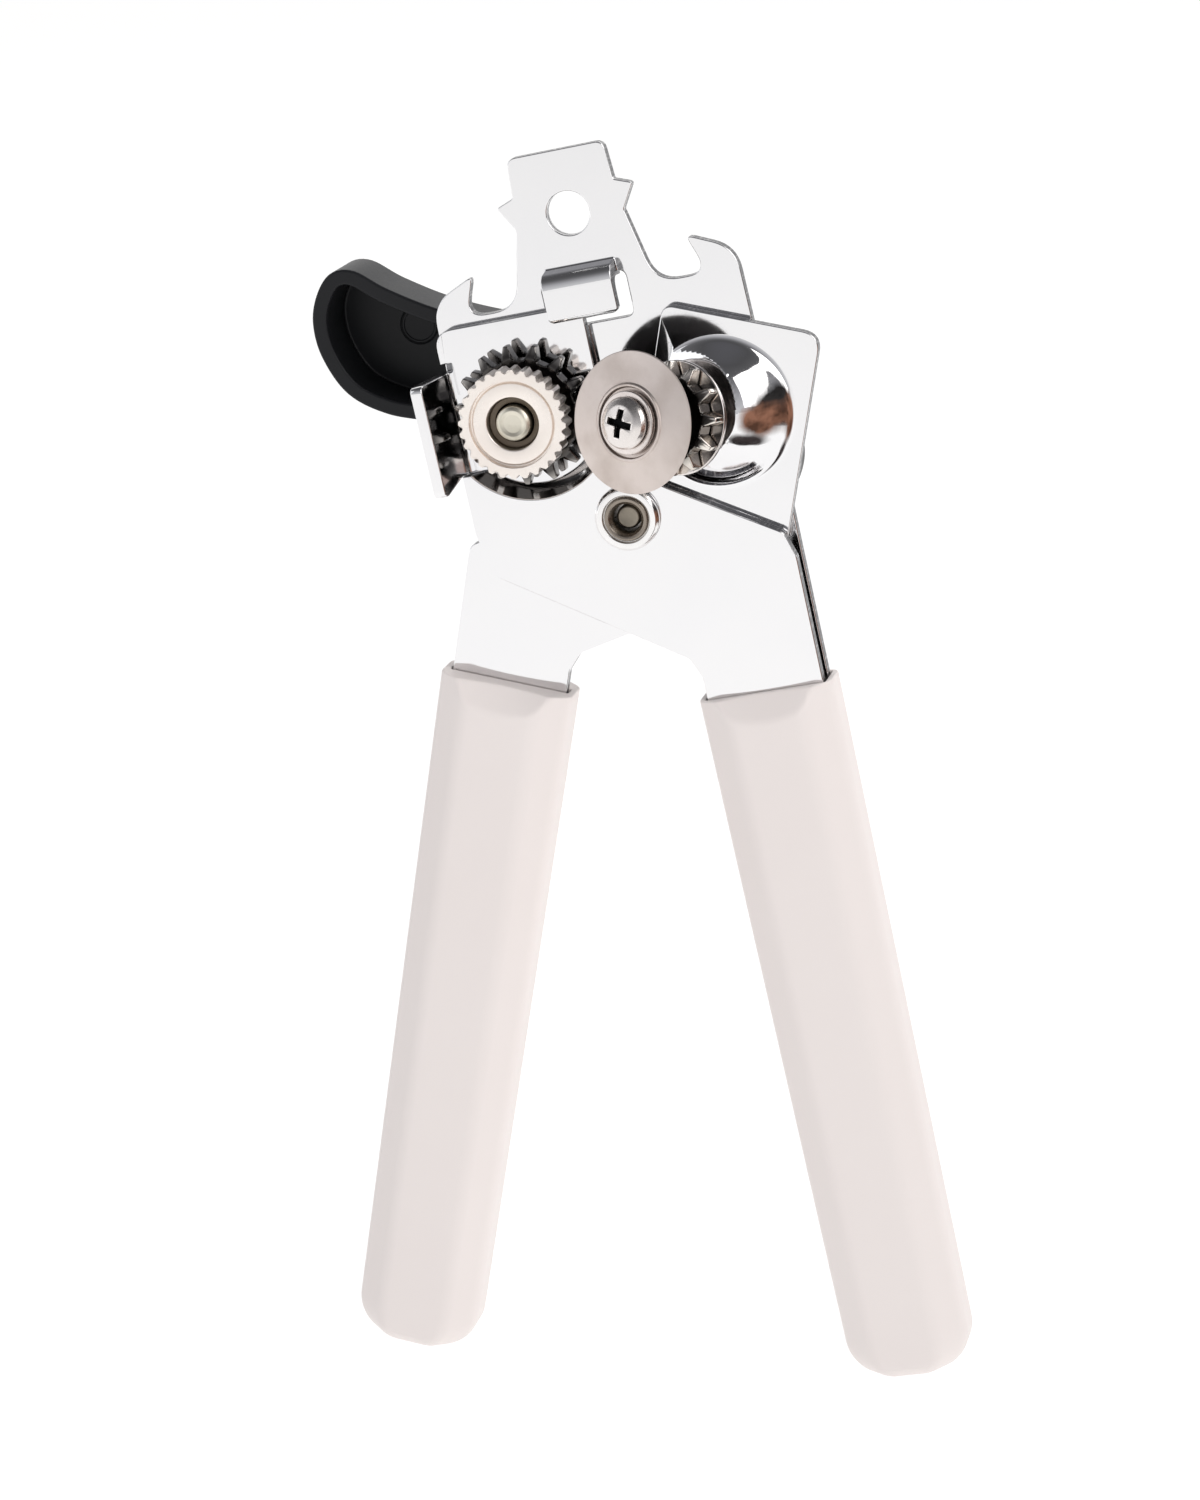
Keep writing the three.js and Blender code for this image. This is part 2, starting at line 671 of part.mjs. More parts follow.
// ---- cutter drive: depths run along the leaning axis, negative forward --------------------------

const CUTTER_BORE = STUD_RADIUS + RUNNING;
const HALF_GEAR = CUTTER_GEAR_THICK / 2;
const FLANGE_BACK = HALF_GEAR + GAP + FLANGE_THICK;
const SPRING_BACK = FLANGE_BACK + GAP + SPRING_THICK;
const BLADE_BACK = -BLADE_PLANE + 0.6;
const BLADE_FACE = BLADE_BACK - BLADE_HUB;
const EYE_FLOOR = BLADE_FACE + 0.7;
const WASHER_BACK = EYE_FLOOR - GAP;
const SCREW_SEAT = WASHER_BACK - WASHER_THICK - GAP;

function cutterGear() {
  const toward = new THREE.Vector3(FEED[0] - shutCutter[0], 0, FEED[1] - shutCutter[1]);
  toward.applyAxisAngle(new THREE.Vector3(0, 1, 0), -stop);
  toward.applyQuaternion(cutterTurn.clone().invert());
  const half = Math.PI / CUTTER_TEETH;
  const first = Math.atan2(toward.z, toward.x) + half;
  const shape = gearShape(CUTTER_TEETH, CUTTER_TIP, CUTTER_ROOT, first);
  const gear = slab(shape, -HALF_GEAR, HALF_GEAR);
  return inArm(leaned(gear.subtract(bar(CUTTER_BORE, -3, 3))));
}

function gearFlange() {
  return inArm(leaned(ring(FLANGE_RADIUS, CUTTER_BORE, HALF_GEAR + GAP, FLANGE_BACK, 40)));
}

function springWasher() {
  return inArm(leaned(ring(SPRING_RADIUS, CUTTER_BORE, FLANGE_BACK + GAP, SPRING_BACK, 28)));
}

function cutterSleeve() {
  return inArm(leaned(ring(SLEEVE_RADIUS, CUTTER_BORE, BLADE_BACK + GAP, -HALF_GEAR - GAP, 28)));
}

function cutterWheel() {
  return inArm(leaned(turned([
    [CUTTER_BORE, EYE_FLOOR],
    [EYE_RADIUS, EYE_FLOOR],
    [EYE_RADIUS, BLADE_FACE],
    [BLADE_RADIUS, -BLADE_PLANE],
    [BLADE_RADIUS, -BLADE_PLANE + 0.15],
    [BLADE_RADIUS - 3, BLADE_BACK],
    [CUTTER_BORE, BLADE_BACK],
    [CUTTER_BORE, EYE_FLOOR],
  ], 48)));
}

function cutterStud() {
  const tip = EYE_FLOOR + 0.1;
  const shoulder = SPRING_BACK + GAP;
  const head = SEAT + DOME_WALL + GAP;
  const thread = SCREW_SHANK + RUNNING;
  const profile = [
    [0, tip + SCREW_LONG],
    [thread, tip + SCREW_LONG],
    [thread, tip],
    [STUD_RADIUS, tip],
    [STUD_RADIUS, shoulder],
    [COLLAR_RADIUS, shoulder],
    [COLLAR_RADIUS, SEAT - GAP],
    [STUD_RADIUS - RUNNING, SEAT - GAP],
    [STUD_RADIUS - RUNNING, head],
    [COLLAR_RADIUS - 0.4, head],
    [COLLAR_RADIUS - 1, head + 0.8],
    [0, head + 1],
  ];
  return inArm(leaned(turned(profile)));
}

function screwWasher() {
  const front = WASHER_BACK - WASHER_THICK;
  return inArm(leaned(ring(WASHER_RADIUS, SCREW_SHANK + RUNNING, front, WASHER_BACK, 36)));
}

function cutterScrew() {
  const top = SCREW_SEAT - SCREW_HEAD;
  const head = turned([
    [0, top],
    [SCREW_RADIUS - 1.6, top],
    [SCREW_RADIUS - 0.5, top + 0.6],
    [SCREW_RADIUS, top + 1.2],
    [SCREW_RADIUS, SCREW_SEAT],
    [SCREW_SHANK, SCREW_SEAT],
    [SCREW_SHANK, EYE_FLOOR + SCREW_LONG - 0.6],
    [0, EYE_FLOOR + SCREW_LONG - 0.6],
  ], 36);
  const blade = box(CROSS_LONG, 2 * CROSS_DEEP, CROSS_WIDE);
  const other = box(CROSS_WIDE, 2 * CROSS_DEEP, CROSS_LONG);
  return inArm(leaned(head.subtract(moved(blade.add(other), 0, top, 0))));
}

// ---- grips --------------------------------------------------------------------------------------

function grip(pocketFront, pocketBack) {
  const half = GRIP_WIDE / 2;
  const low = half - GRIP_TAPER;
  const face = outline([
    [-half, -GRIP_TOP, 1],
    [-low, -GRIP_END, GRIP_CORNER],
    [low, -GRIP_END, GRIP_CORNER],
    [half, -GRIP_TOP, 1],
  ]);
  const body = slab(face, GRIP_FRONT, GRIP_BACK, 8);
  const strip = GRIP_FACE / 2;
  const middle = (GRIP_FRONT + GRIP_BACK) / 2;
  const flat = GRIP_SIDE / 2;
  const section = outline([
    [-half, middle + flat, GRIP_FLARE],
    [-strip, GRIP_BACK, GRIP_CROWN],
    [strip, GRIP_BACK, GRIP_CROWN],
    [half, middle + flat, GRIP_FLARE],
    [half, middle - flat, GRIP_FLARE],
    [strip, GRIP_FRONT, GRIP_CROWN],
    [-strip, GRIP_FRONT, GRIP_CROWN],
    [-half, middle - flat, GRIP_FLARE],
  ]);
  const options = { depth: GRIP_END + 10, bevelEnabled: false, curveSegments: 4 };
  const long = new THREE.ExtrudeGeometry(section, options);
  long.translate(0, 0, -GRIP_END - 5);
  const wide = PLATE_HALF - TANG_INNER + 2 * GAP;
  const deep = pocketBack - pocketFront + 2 * GAP;
  const hole = box(wide, deep, 2 * TANG_DEEP);
  const pocket = moved(hole, 0, (pocketFront + pocketBack) / 2, -GAP);
  return body.intersect(solid(long)).subtract(pocket).subtract(scallop());
}

// The wedge that slopes the top of a grip's front face.
function scallop() {
  const past = 3;
  const wedge = outline([
    [GRIP_FRONT - past, -GRIP_TOP - SCALLOP_TALL * (1 + past / SCALLOP_DEEP)],
    [GRIP_FRONT + SCALLOP_DEEP + past, -GRIP_TOP + (past * SCALLOP_TALL) / SCALLOP_DEEP],
    [GRIP_FRONT - past, -GRIP_TOP + (past * SCALLOP_TALL) / SCALLOP_DEEP],
  ]);
  return slab(wedge, -GRIP_WIDE, GRIP_WIDE).transform(QUARTER);
}

function rightGrip() {
  return inHand(moved(grip(RAISED_FRONT, BACK_REAR), GRIP_MIDDLE, 0, 0));
}

function leftGrip() {
  return inArm(moved(grip(ARM_FRONT, ARM_BACK), -GRIP_MIDDLE, 0, 0));
}

// ---- materials and assembly ---------------------------------------------------------------------

function chrome() {
  return new THREE.MeshStandardMaterial({ color: 0xd9dbdd, roughness: 0.1, metalness: 1 });
}

function nickel() {
  return new THREE.MeshStandardMaterial({ color: 0xc9c0b8, roughness: 0.35, metalness: 1 });
}

function steel() {
  return new THREE.MeshStandardMaterial({ color: 0xb4b6b8, roughness: 0.25, metalness: 1 });
}

function whitePlastic() {
  return new THREE.MeshStandardMaterial({ color: 0xededea, roughness: 0.45, metalness: 0 });
}

function blackPlastic() {
  return new THREE.MeshStandardMaterial({ color: 0x1b1b1d, roughness: 0.35, metalness: 0 });
}

const opener = new THREE.Group();
opener.name = "manual_can_opener";

function add(name, body, material) {
  const made = body.getMesh();
  const geometry = new THREE.BufferGeometry();
  geometry.setAttribute("position", new THREE.BufferAttribute(made.vertProperties, 3));
  geometry.setIndex(new THREE.BufferAttribute(made.triVerts, 1));
  const mesh = new THREE.Mesh(geometry, material);
  mesh.name = name;
  opener.add(mesh);
}

add("front_plate", frontPlate(), chrome());
add("back_plate", backPlate(), chrome());
add("cutter_plate", cutterPlate(), chrome());
add("tang_spacer", tangSpacer(), steel());
add("left_grip", leftGrip(), whitePlastic());
add("right_grip", rightGrip(), whitePlastic());
add("pivot_rivet", pivotRivet(), chrome());
add("pivot_core", pivotCore(), steel());
add("pivot_washer", pivotWasher(), steel());
add("feed_bush", feedBush(), steel());
add("thrust_washer", thrustWasher(), steel());
add("feed_gear", feedGear(), nickel());
add("feed_wheel", feedWheel(), nickel());
add("feed_shaft", feedShaft(), nickel());
add("knob_washer", knobWasher(), steel());
add("knob_insert", knobInsert(), steel());
add("knob", knob(), blackPlastic());
add("cutter_stud", cutterStud(), steel());
add("spring_washer", springWasher(), steel());
add("gear_flange", gearFlange(), chrome());
add("cutter_gear", cutterGear(), nickel());
add("cutter_sleeve", cutterSleeve(), nickel());
add("cutter_wheel", cutterWheel(), nickel());
add("screw_washer", screwWasher(), chrome());
add("cutter_screw", cutterScrew(), chrome());

// The frame's origin is the middle of the hanging hole, on the back plate's front face.
const hang = new THREE.Vector3(0, 0, HANG_HEIGHT);
hang.applyAxisAngle(new THREE.Vector3(0, 1, 0), rad(-HALF_OPEN));
opener.position.set(-hang.x, 0, -hang.z);

export default opener;
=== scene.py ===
"""A manual can opener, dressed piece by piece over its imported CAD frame.

Every piece is drawn in millimetres in the frame that its CAD solid was drawn in, shaped by joining
and cutting solids, and then set in place in metres. Front is -Y and up is +Z.
"""

import json
import logging
import math
from dataclasses import dataclass, replace
from enum import Enum

import bmesh
import bpy
from mathutils import Matrix, Vector


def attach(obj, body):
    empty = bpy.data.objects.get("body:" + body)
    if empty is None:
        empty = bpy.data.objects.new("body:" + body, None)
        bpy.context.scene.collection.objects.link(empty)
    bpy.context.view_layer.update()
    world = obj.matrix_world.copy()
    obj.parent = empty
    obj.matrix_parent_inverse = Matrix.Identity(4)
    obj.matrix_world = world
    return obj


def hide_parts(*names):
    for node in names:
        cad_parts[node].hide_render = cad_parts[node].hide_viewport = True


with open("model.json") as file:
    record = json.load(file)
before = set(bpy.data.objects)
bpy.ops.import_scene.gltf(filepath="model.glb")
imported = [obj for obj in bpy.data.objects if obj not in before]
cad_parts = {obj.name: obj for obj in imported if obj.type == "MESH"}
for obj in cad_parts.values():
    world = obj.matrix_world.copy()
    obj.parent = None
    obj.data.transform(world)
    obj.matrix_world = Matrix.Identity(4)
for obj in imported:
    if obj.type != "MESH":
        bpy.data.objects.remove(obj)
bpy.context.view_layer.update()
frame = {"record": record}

LOG = logging.getLogger("can_opener")

Point = tuple[float, ...]
Colour = tuple[float, float, float]

MM = 0.001  # one millimetre, in metres
GAP = 0.3  # between neighbouring faces
RUNNING = 0.3  # radial gap of a bore round its pin
HALF_OPEN = 10.6  # degrees that each grip stands off the middle line
HANG_HEIGHT = 50.0  # from the pivot up to the hanging hole
PAST = 1.0  # how far a cutting solid sticks out past what it cuts
ROUND_SIDES = 96  # sides of a small turned solid
FINE_SIDES = 160  # sides of one whose outline is seen large
HEAD_SIDES = 128  # sides of a rivet's or a screw's head
SHEET = 2.0
BACK_FRONT = 0.0
BACK_REAR = BACK_FRONT + SHEET
ARM_BACK = BACK_FRONT - GAP
ARM_FRONT = ARM_BACK - SHEET
RAISED_BACK = ARM_FRONT - GAP
RAISED_FRONT = RAISED_BACK - SHEET


# ---- outlines ----------------------------------------------------------------------------------


def rounded(points: list[Point], steps: int = 8, closed: bool = True) -> list[Point]:
    """Rounds the corners of a flat outline.

    Args:
        points: (across, up) or (across, up, corner radius) for each corner, in order.
        steps: how many short sides each rounded corner gets.
        closed: whether the last corner joins the first.

    Returns:
        The outline's (across, up) points.
    """
    made: list[Point] = []
    count = len(points)
    for i, point in enumerate(points):
        here = Vector(point[:2])
        radius = point[2] if len(point) > 2 else 0.0
        end = not closed and i in (0, count - 1)
        if not radius or end:
            made.append(tuple(here))
            continue
        last = Vector(points[i - 1][:2]) - here
        following = Vector(points[(i + 1) % count][:2]) - here
        turn = last.angle(following)
        back = min(radius / math.tan(turn / 2), last.length * 0.48, following.length * 0.48)
        enter = here + last.normalized() * back
        leave = here + following.normalized() * back
        for k in range(steps + 1):
            t = k / steps
            spot = enter * (1 - t) ** 2 + here * (2 * t * (1 - t)) + leave * t**2
            made.append(tuple(spot))
    return made


def mirrored(points: list[Point]) -> list[Point]:
    """The same outline on the other side of the middle line."""
    return [(-point[0], *point[1:]) for point in points]


def smooth_curve(points: list[Point], count: int, closed: bool) -> list[Point]:
    """Runs an evenly spaced smooth curve through points.

    Args:
        points: the (across, up) points that it passes.
        count: how many points it gets.
        closed: whether it comes back to its start.

    Returns:
        The curve's points; an open curve has both ends.
    """
    total = len(points)
    spans = total if closed else total - 1
    dense: list[Vector] = []
    fine = 40
    for i in range(spans):
        if closed:
            around = [Vector(points[(i + k) % total][:2]) for k in (-1, 0, 1, 2)]
        else:
            around = [Vector(points[min(max(i + k, 0), total - 1)][:2]) for k in (-1, 0, 1, 2)]
        p0, p1, p2, p3 = around
        for k in range(fine):
            t = k / fine
            dense.append(
                0.5
                * (
                    2 * p1
                    + (p2 - p0) * t
                    + (2 * p0 - 5 * p1 + 4 * p2 - p3) * t**2
                    + (3 * p1 - p0 - 3 * p2 + p3) * t**3
                )
            )
    dense.append(Vector(points[0][:2]) if closed else Vector(points[-1][:2]))
    lengths = [0.0]
    for a, b in zip(dense, dense[1:]):
        lengths.append(lengths[-1] + (b - a).length)
    wanted = count if closed else count - 1
    made: list[Point] = []
    at = 0
    for i in range(count):
        target = lengths[-1] * i / wanted
        while at < len(lengths) - 2 and lengths[at + 1] < target:
            at += 1
        part = (target - lengths[at]) / max(lengths[at + 1] - lengths[at], 1e-9)
        made.append(tuple(dense[at].lerp(dense[at + 1], min(part, 1.0))))
    return made


def inset(loop: list[Point], by: float) -> list[Point]:
    """Moves a closed outline inward.

    Args:
        loop: the outline's points.
        by: how far, in millimetres.

    Returns:
        The moved outline, point for point.
    """
    count = len(loop)
    area = sum(
        loop[i][0] * loop[(i + 1) % count][1] - loop[(i + 1) % count][0] * loop[i][1]
        for i in range(count)
    )
    sign = 1.0 if area > 0 else -1.0
    made: list[Point] = []
    for i, point in enumerate(loop):
        along = Vector(loop[(i + 1) % count]) - Vector(loop[i - 1])
        along.normalize()
        made.append((point[0] - along.y * by * sign, point[1] + along.x * by * sign))
    return made


# ---- solids ------------------------------------------------------------------------------------


class Solid:
    """A closed mesh in millimetres that is joined (+), cut (-) and trimmed (&) with others."""

    def __init__(self, mesh: bpy.types.Mesh) -> None:
        """Keeps the mesh."""
        self.mesh = mesh

    @classmethod
    def from_bmesh(cls, made: bmesh.types.BMesh) -> "Solid":
        """Closes off a bmesh as a solid with its faces turned outward.

        Args:
            made: the bmesh, which is freed.

        Returns:
            The solid.
        """
        bmesh.ops.recalc_face_normals(made, faces=made.faces)
        mesh = bpy.data.meshes.new("solid")
        made.to_mesh(mesh)
        made.free()
        return cls(mesh)

    @classmethod
    def slab(cls, loop: list[Point], front: float, back: float) -> "Solid":
        """Makes a flat outline solid between two depths.

        Args:
            loop: the (across, up) points of the outline.
            front: depth of its front face.
            back: depth of its rear face.

        Returns:
            The solid.
        """
        made = bmesh.new()
        near = [made.verts.new((x, front, z)) for x, z in loop]
        far = [made.verts.new((x, back, z)) for x, z in loop]
        made.faces.new(near)
        made.faces.new(list(reversed(far)))
        for i in range(len(loop)):
            k = (i + 1) % len(loop)
            made.faces.new((near[i], near[k], far[k], far[i]))
        return cls.from_bmesh(made)

    @classmethod
    def turned(cls, profile: list[Point], segments: int = ROUND_SIDES, bend: int = 4) -> "Solid":
        """Turns a profile about the Y axis.

        Args:
            profile: (radius, depth) or (radius, depth, corner radius); a ring's profile ends where
                it starts, and any other runs from the axis back to the axis.
            segments: sides of the turned solid.
            bend: short sides of each rounded corner.

        Returns:
            The solid.
        """
        looped = profile[0][:2] == profile[-1][:2]
        corners = profile[:-1] if looped else profile
        line = rounded(corners, bend, closed=looped)
        made = bmesh.new()
        rings: list[list[bmesh.types.BMVert]] = []
        for radius, depth in line:
            if radius < 1e-6:
                rings.append([made.verts.new((0, depth, 0))])
                continue
            ring = []
            for k in range(segments):
                angle = 2 * math.pi * k / segments
                ring.append(
                    made.verts.new((radius * math.cos(angle), depth, radius * math.sin(angle)))
                )
            rings.append(ring)
        pairs = list(zip(rings, rings[1:] + rings[:1])) if looped else list(zip(rings, rings[1:]))
        for first, second in pairs:
            for k in range(segments):
                n = (k + 1) % segments
                if len(first) == 1 and len(second) == 1:
                    continue
                if len(first) == 1:
                    made.faces.new((first[0], second[n], second[k]))
                elif len(second) == 1:
                    made.faces.new((first[k], first[n], second[0]))
                else:
                    made.faces.new((first[k], first[n], second[n], second[k]))
        return cls.from_bmesh(made)

    @classmethod
    def bar(cls, radius: float, front: float, back: float, segments: int = ROUND_SIDES) -> "Solid":
        """A plain round bar between two depths, mostly used as a drill."""
        return cls.turned([(0, front), (radius, front), (radius, back), (0, back)], segments)

    @classmethod
    def block(cls, wide: float, deep: float, tall: float, middle: Point = (0, 0, 0)) -> "Solid":
        """Makes a square block, used to trim other solids.

        Args:
            wide: size along X.
            deep: size along Y.
            tall: size along Z.
            middle: where its middle is.

        Returns:
            The solid.
        """
        x, z = wide / 2, tall / 2
        loop = [(-x, -z), (x, -z), (x, z), (-x, z)]
        return cls.slab(loop, -deep / 2, deep / 2).moved(*middle)

    @classmethod
    def lofted(cls, rings: list[list[Point]]) -> "Solid":
        """Skins a row of rings that all have the same number of points.

        Args:
            rings: the rings' (x, y, z) points, from one end to the other.

        Returns:
            The solid, with both ends closed.
        """
        made = bmesh.new()
        rows = [[made.verts.new(point) for point in ring] for ring in rings]
        for first, second in zip(rows, rows[1:]):
            for k in range(len(first)):
                n = (k + 1) % len(first)
                made.faces.new((first[k], first[n], second[n], second[k]))
        made.faces.new(rows[0])
        made.faces.new(rows[-1])
        return cls.from_bmesh(made)

    def changed(self, matrix: Matrix) -> "Solid":
        """Moves the solid by a matrix, in place, and hands it back."""
        self.mesh.transform(matrix)
        return self

    def moved(self, x: float, y: float, z: float) -> "Solid":
        """Shifts the solid, in place, and hands it back."""
        return self.changed(Matrix.Translation((x, y, z)))

    def _combined(self, other: "Solid", operation: str) -> "Solid":
        """Joins, cuts or trims this solid with another.

        Args:
            other: the other solid, which is used up.
            operation: UNION, DIFFERENCE or INTERSECT.

        Returns:
            The new solid.
        """
        base = linked("base", self.mesh)
        tool = linked("tool", other.mesh)
        step = base.modifiers.new("step", "BOOLEAN")
        step.operation = operation
        step.solver = "EXACT"
        step.object = tool
        bpy.context.view_layer.update()
        graph = bpy.context.evaluated_depsgraph_get()
        mesh = bpy.data.meshes.new_from_object(base.evaluated_get(graph))
        for thing in (base, tool):
            bpy.data.objects.remove(thing)
        clean = bmesh.new()
        clean.from_mesh(mesh)
        bmesh.ops.remove_doubles(clean, verts=clean.verts, dist=2e-4)
        bmesh.ops.dissolve_degenerate(clean, edges=clean.edges, dist=2e-4)
        clean.to_mesh(mesh)
        clean.free()
        return Solid(mesh)

    def __add__(self, other: "Solid") -> "Solid":
        """Both solids as one."""
        return self._combined(other, "UNION")

    def __sub__(self, other: "Solid") -> "Solid":
        """This solid with the other cut away."""
        return self._combined(other, "DIFFERENCE")

    def __and__(self, other: "Solid") -> "Solid":
        """What both solids share."""
        return self._combined(other, "INTERSECT")


def linked(name: str, data: bpy.types.ID) -> bpy.types.Object:
    """Puts an object into the scene.

    Args:
        name: its name.
        data: its mesh, light or camera.

    Returns:
        The object.
    """
    thing = bpy.data.objects.new(name, data)
    bpy.context.scene.collection.objects.link(thing)
    return thing


class Place(Enum):
    """The drawing frames that the pieces are set from."""

    WORLD = "as it stands"
    HAND = "front plate, back plate and right grip"
    ARM = "cutter plate and left grip"
    FEED = "drive line of the feed wheel"
    CUTTER = "leaning axis of the cutter"


@dataclass(frozen=True)
class Layout:
    """Where the two plate frames and the two drive lines stand, in millimetres and degrees."""

    feed: tuple[float, float] = (-13.1, 19.9)
    cutter: tuple[float, float, float] = (5.33, -9.2, 18.8)
    lean: float = 24.0
    lean_up: float = 8.0

    def feed_spot(self) -> tuple[float, float, float]:
        """Where the drive line of the feed wheel crosses the plates, in the hand frame."""
        return self.feed[0], 0, self.feed[1]

    def offset(self) -> Matrix:
        """The shift from the pivot to the frame's origin in the hanging hole.

        Returns:
            The shift, as a matrix.
        """
        angle = math.radians(HALF_OPEN)
        return Matrix.Translation(
            (HANG_HEIGHT * math.sin(angle), 0, -HANG_HEIGHT * math.cos(angle))
        )

    def cutter_axis(self) -> Vector:
        """The way the cutter's axis points, in the arm frame.

        Returns:
            Its direction.
        """
        tilt = math.sin(math.radians(self.lean))
        up = math.radians(self.lean_up)
        return Vector(
            (-tilt * math.cos(up), -math.cos(math.radians(self.lean)), tilt * math.sin(up))
        )

    def leaned(self) -> Matrix:
        """From a drawing about the Y axis to the leaning axis, in the arm frame."""
        turn = Vector((0, -1, 0)).rotation_difference(self.cutter_axis()).to_matrix().to_4x4()
        return Matrix.Translation(self.cutter) @ turn

    def shut_cutter(self, stop_angle: float) -> tuple[float, float]:
        """Finds the cutter's gear with the grips shut.

        Args:
            stop_angle: degrees left between the plates' frames at the shut stop.

        Returns:
            Its (across, up) place in the hand frame.
        """
        stop = math.radians(stop_angle)
        x, _, z = self.cutter
        return x * math.cos(stop) + z * math.sin(stop), z * math.cos(stop) - x * math.sin(stop)

    def matrix(self, place: Place) -> Matrix:
        """Finds the way from a drawing frame to the object's frame, still in millimetres.

        Args:
            place: the drawing frame.

        Returns:
            The matrix.
        """
        hand = Matrix.Rotation(math.radians(-HALF_OPEN), 4, "Y")
        arm = Matrix.Rotation(math.radians(HALF_OPEN), 4, "Y")
        own = {
            Place.WORLD: Matrix.Identity(4),
            Place.HAND: hand,
            Place.ARM: arm,
            Place.FEED: hand @ Matrix.Translation(self.feed_spot()),
            Place.CUTTER: arm @ self.leaned(),
        }
        return self.offset() @ own[place]

    def axis_line(self, place: Place) -> tuple[Vector, Vector]:
        """Gives a drive line in metres.

        Args:
            place: FEED or CUTTER, or a plate frame for the pivot's line.

        Returns:
            A point on the line and its direction.
        """
        matrix = self.matrix(place)
        start = matrix @ Vector((0, 0, 0))
        ahead = matrix @ Vector((0, 1, 0))
        return start * MM, (ahead - start).normalized()


LAYOUT = Layout()


# ---- shader writing ----------------------------------------------------------------------------


class Wire:
    """A node's output that Python arithmetic can be written on."""

    def __init__(self, nodes: "Tree", socket: bpy.types.NodeSocket) -> None:
        """Keeps the output and the tree that it is in."""
        self.nodes = nodes
        self.socket = socket

    def _math(self, operation: str, first: "Wire | float", second: "Wire | float") -> "Wire":
        """Adds one Math node.

        Args:
            operation: the node's operation.
            first: its first value.
            second: its second value.

        Returns:
            The node's output.
        """
        return self.nodes.add("ShaderNodeMath", {"operation": operation}, {0: first, 1: second})

    def __add__(self, other: "Wire | float") -> "Wire":
        """This plus the other."""
        return self._math("ADD", self, other)

    def __radd__(self, other: float) -> "Wire":
        """A number plus this."""
        return self._math("ADD", other, self)

    def __sub__(self, other: "Wire | float") -> "Wire":
        """This less the other."""
        return self._math("SUBTRACT", self, other)

    def __rsub__(self, other: float) -> "Wire":
        """A number less this."""
        return self._math("SUBTRACT", other, self)

    def __mul__(self, other: "Wire | float") -> "Wire":
        """This times the other."""
        return self._math("MULTIPLY", self, other)

    def size(self) -> "Wire":
        """This without its sign."""
        return self._math("ABSOLUTE", self, 0.0)

    def sine(self) -> "Wire":
        """The sine of this, in radians."""
        return self._math("SINE", self, 0.0)

    def past(self, at: float, over: float) -> "Wire":
        """Steps from 0 to 1 past a distance.

        Args:
            at: the distance, in millimetres.
            over: how far the step takes.

        Returns:
            The step.
        """
        return self.spread(at * MM, (at + over) * MM)

    def spread(self, low: float, high: float) -> "Wire":
        """Stretches the part between two values over 0 to 1, and holds the rest there.

        Args:
            low: what becomes 0.
            high: what becomes 1.

        Returns:
            The stretched value.
        """
        values = {"Value": self, "From Min": low, "From Max": high}
        return self.nodes.add("ShaderNodeMapRange", {"clamp": True}, values)


class Tree:
    """A node tree that nodes are added to."""

    def __init__(self, tree: bpy.types.NodeTree) -> None:
        """Keeps the tree."""
        self.tree = tree

    def add(
        self,
        kind: str,
        settings: dict[str, object] | None = None,
        values: dict[str | int, object] | None = None,
        output: str | int = 0,
    ) -> Wire:
        """Adds one node.

        Args:
            kind: the node's type.
            settings: its properties, set first; `stops` are a ramp's (place, colour) pairs.
            values: what each of its sockets gets, a value or another node's output.
            output: which of its outputs is wanted.

        Returns:
            That output.
        """
        node = self.tree.nodes.new(kind)
        for key, value in (settings or {}).items():
            if key == "stops":
                self._set_stops(node, value)
            else:
                setattr(node, key, value)
        for key, value in (values or {}).items():
            self._give(node.inputs[key], value)
        return Wire(self, node.outputs[output])

    def _set_stops(self, node: bpy.types.Node, stops: list[tuple[float, Colour]]) -> None:
        """Sets a ramp's stops.

        Args:
            node: the ramp.
            stops: each stop's place and colour.
        """
        elements = node.color_ramp.elements
        while len(elements) < len(stops):
            elements.new(1.0)
        for element, (place, colour) in zip(elements, stops):
            element.position = place
            element.color = (*colour, 1.0)

    def _give(self, socket: bpy.types.NodeSocket, value: object) -> None:
        """Links or sets one socket.

        Args:
            socket: the input.
            value: an output, or a plain value.
        """
        if isinstance(value, Wire):
            self.tree.links.new(value.socket, socket)
        elif socket.type == "RGBA" and len(value) == 3:
            socket.default_value = (*value, 1.0)
        else:
            socket.default_value = value


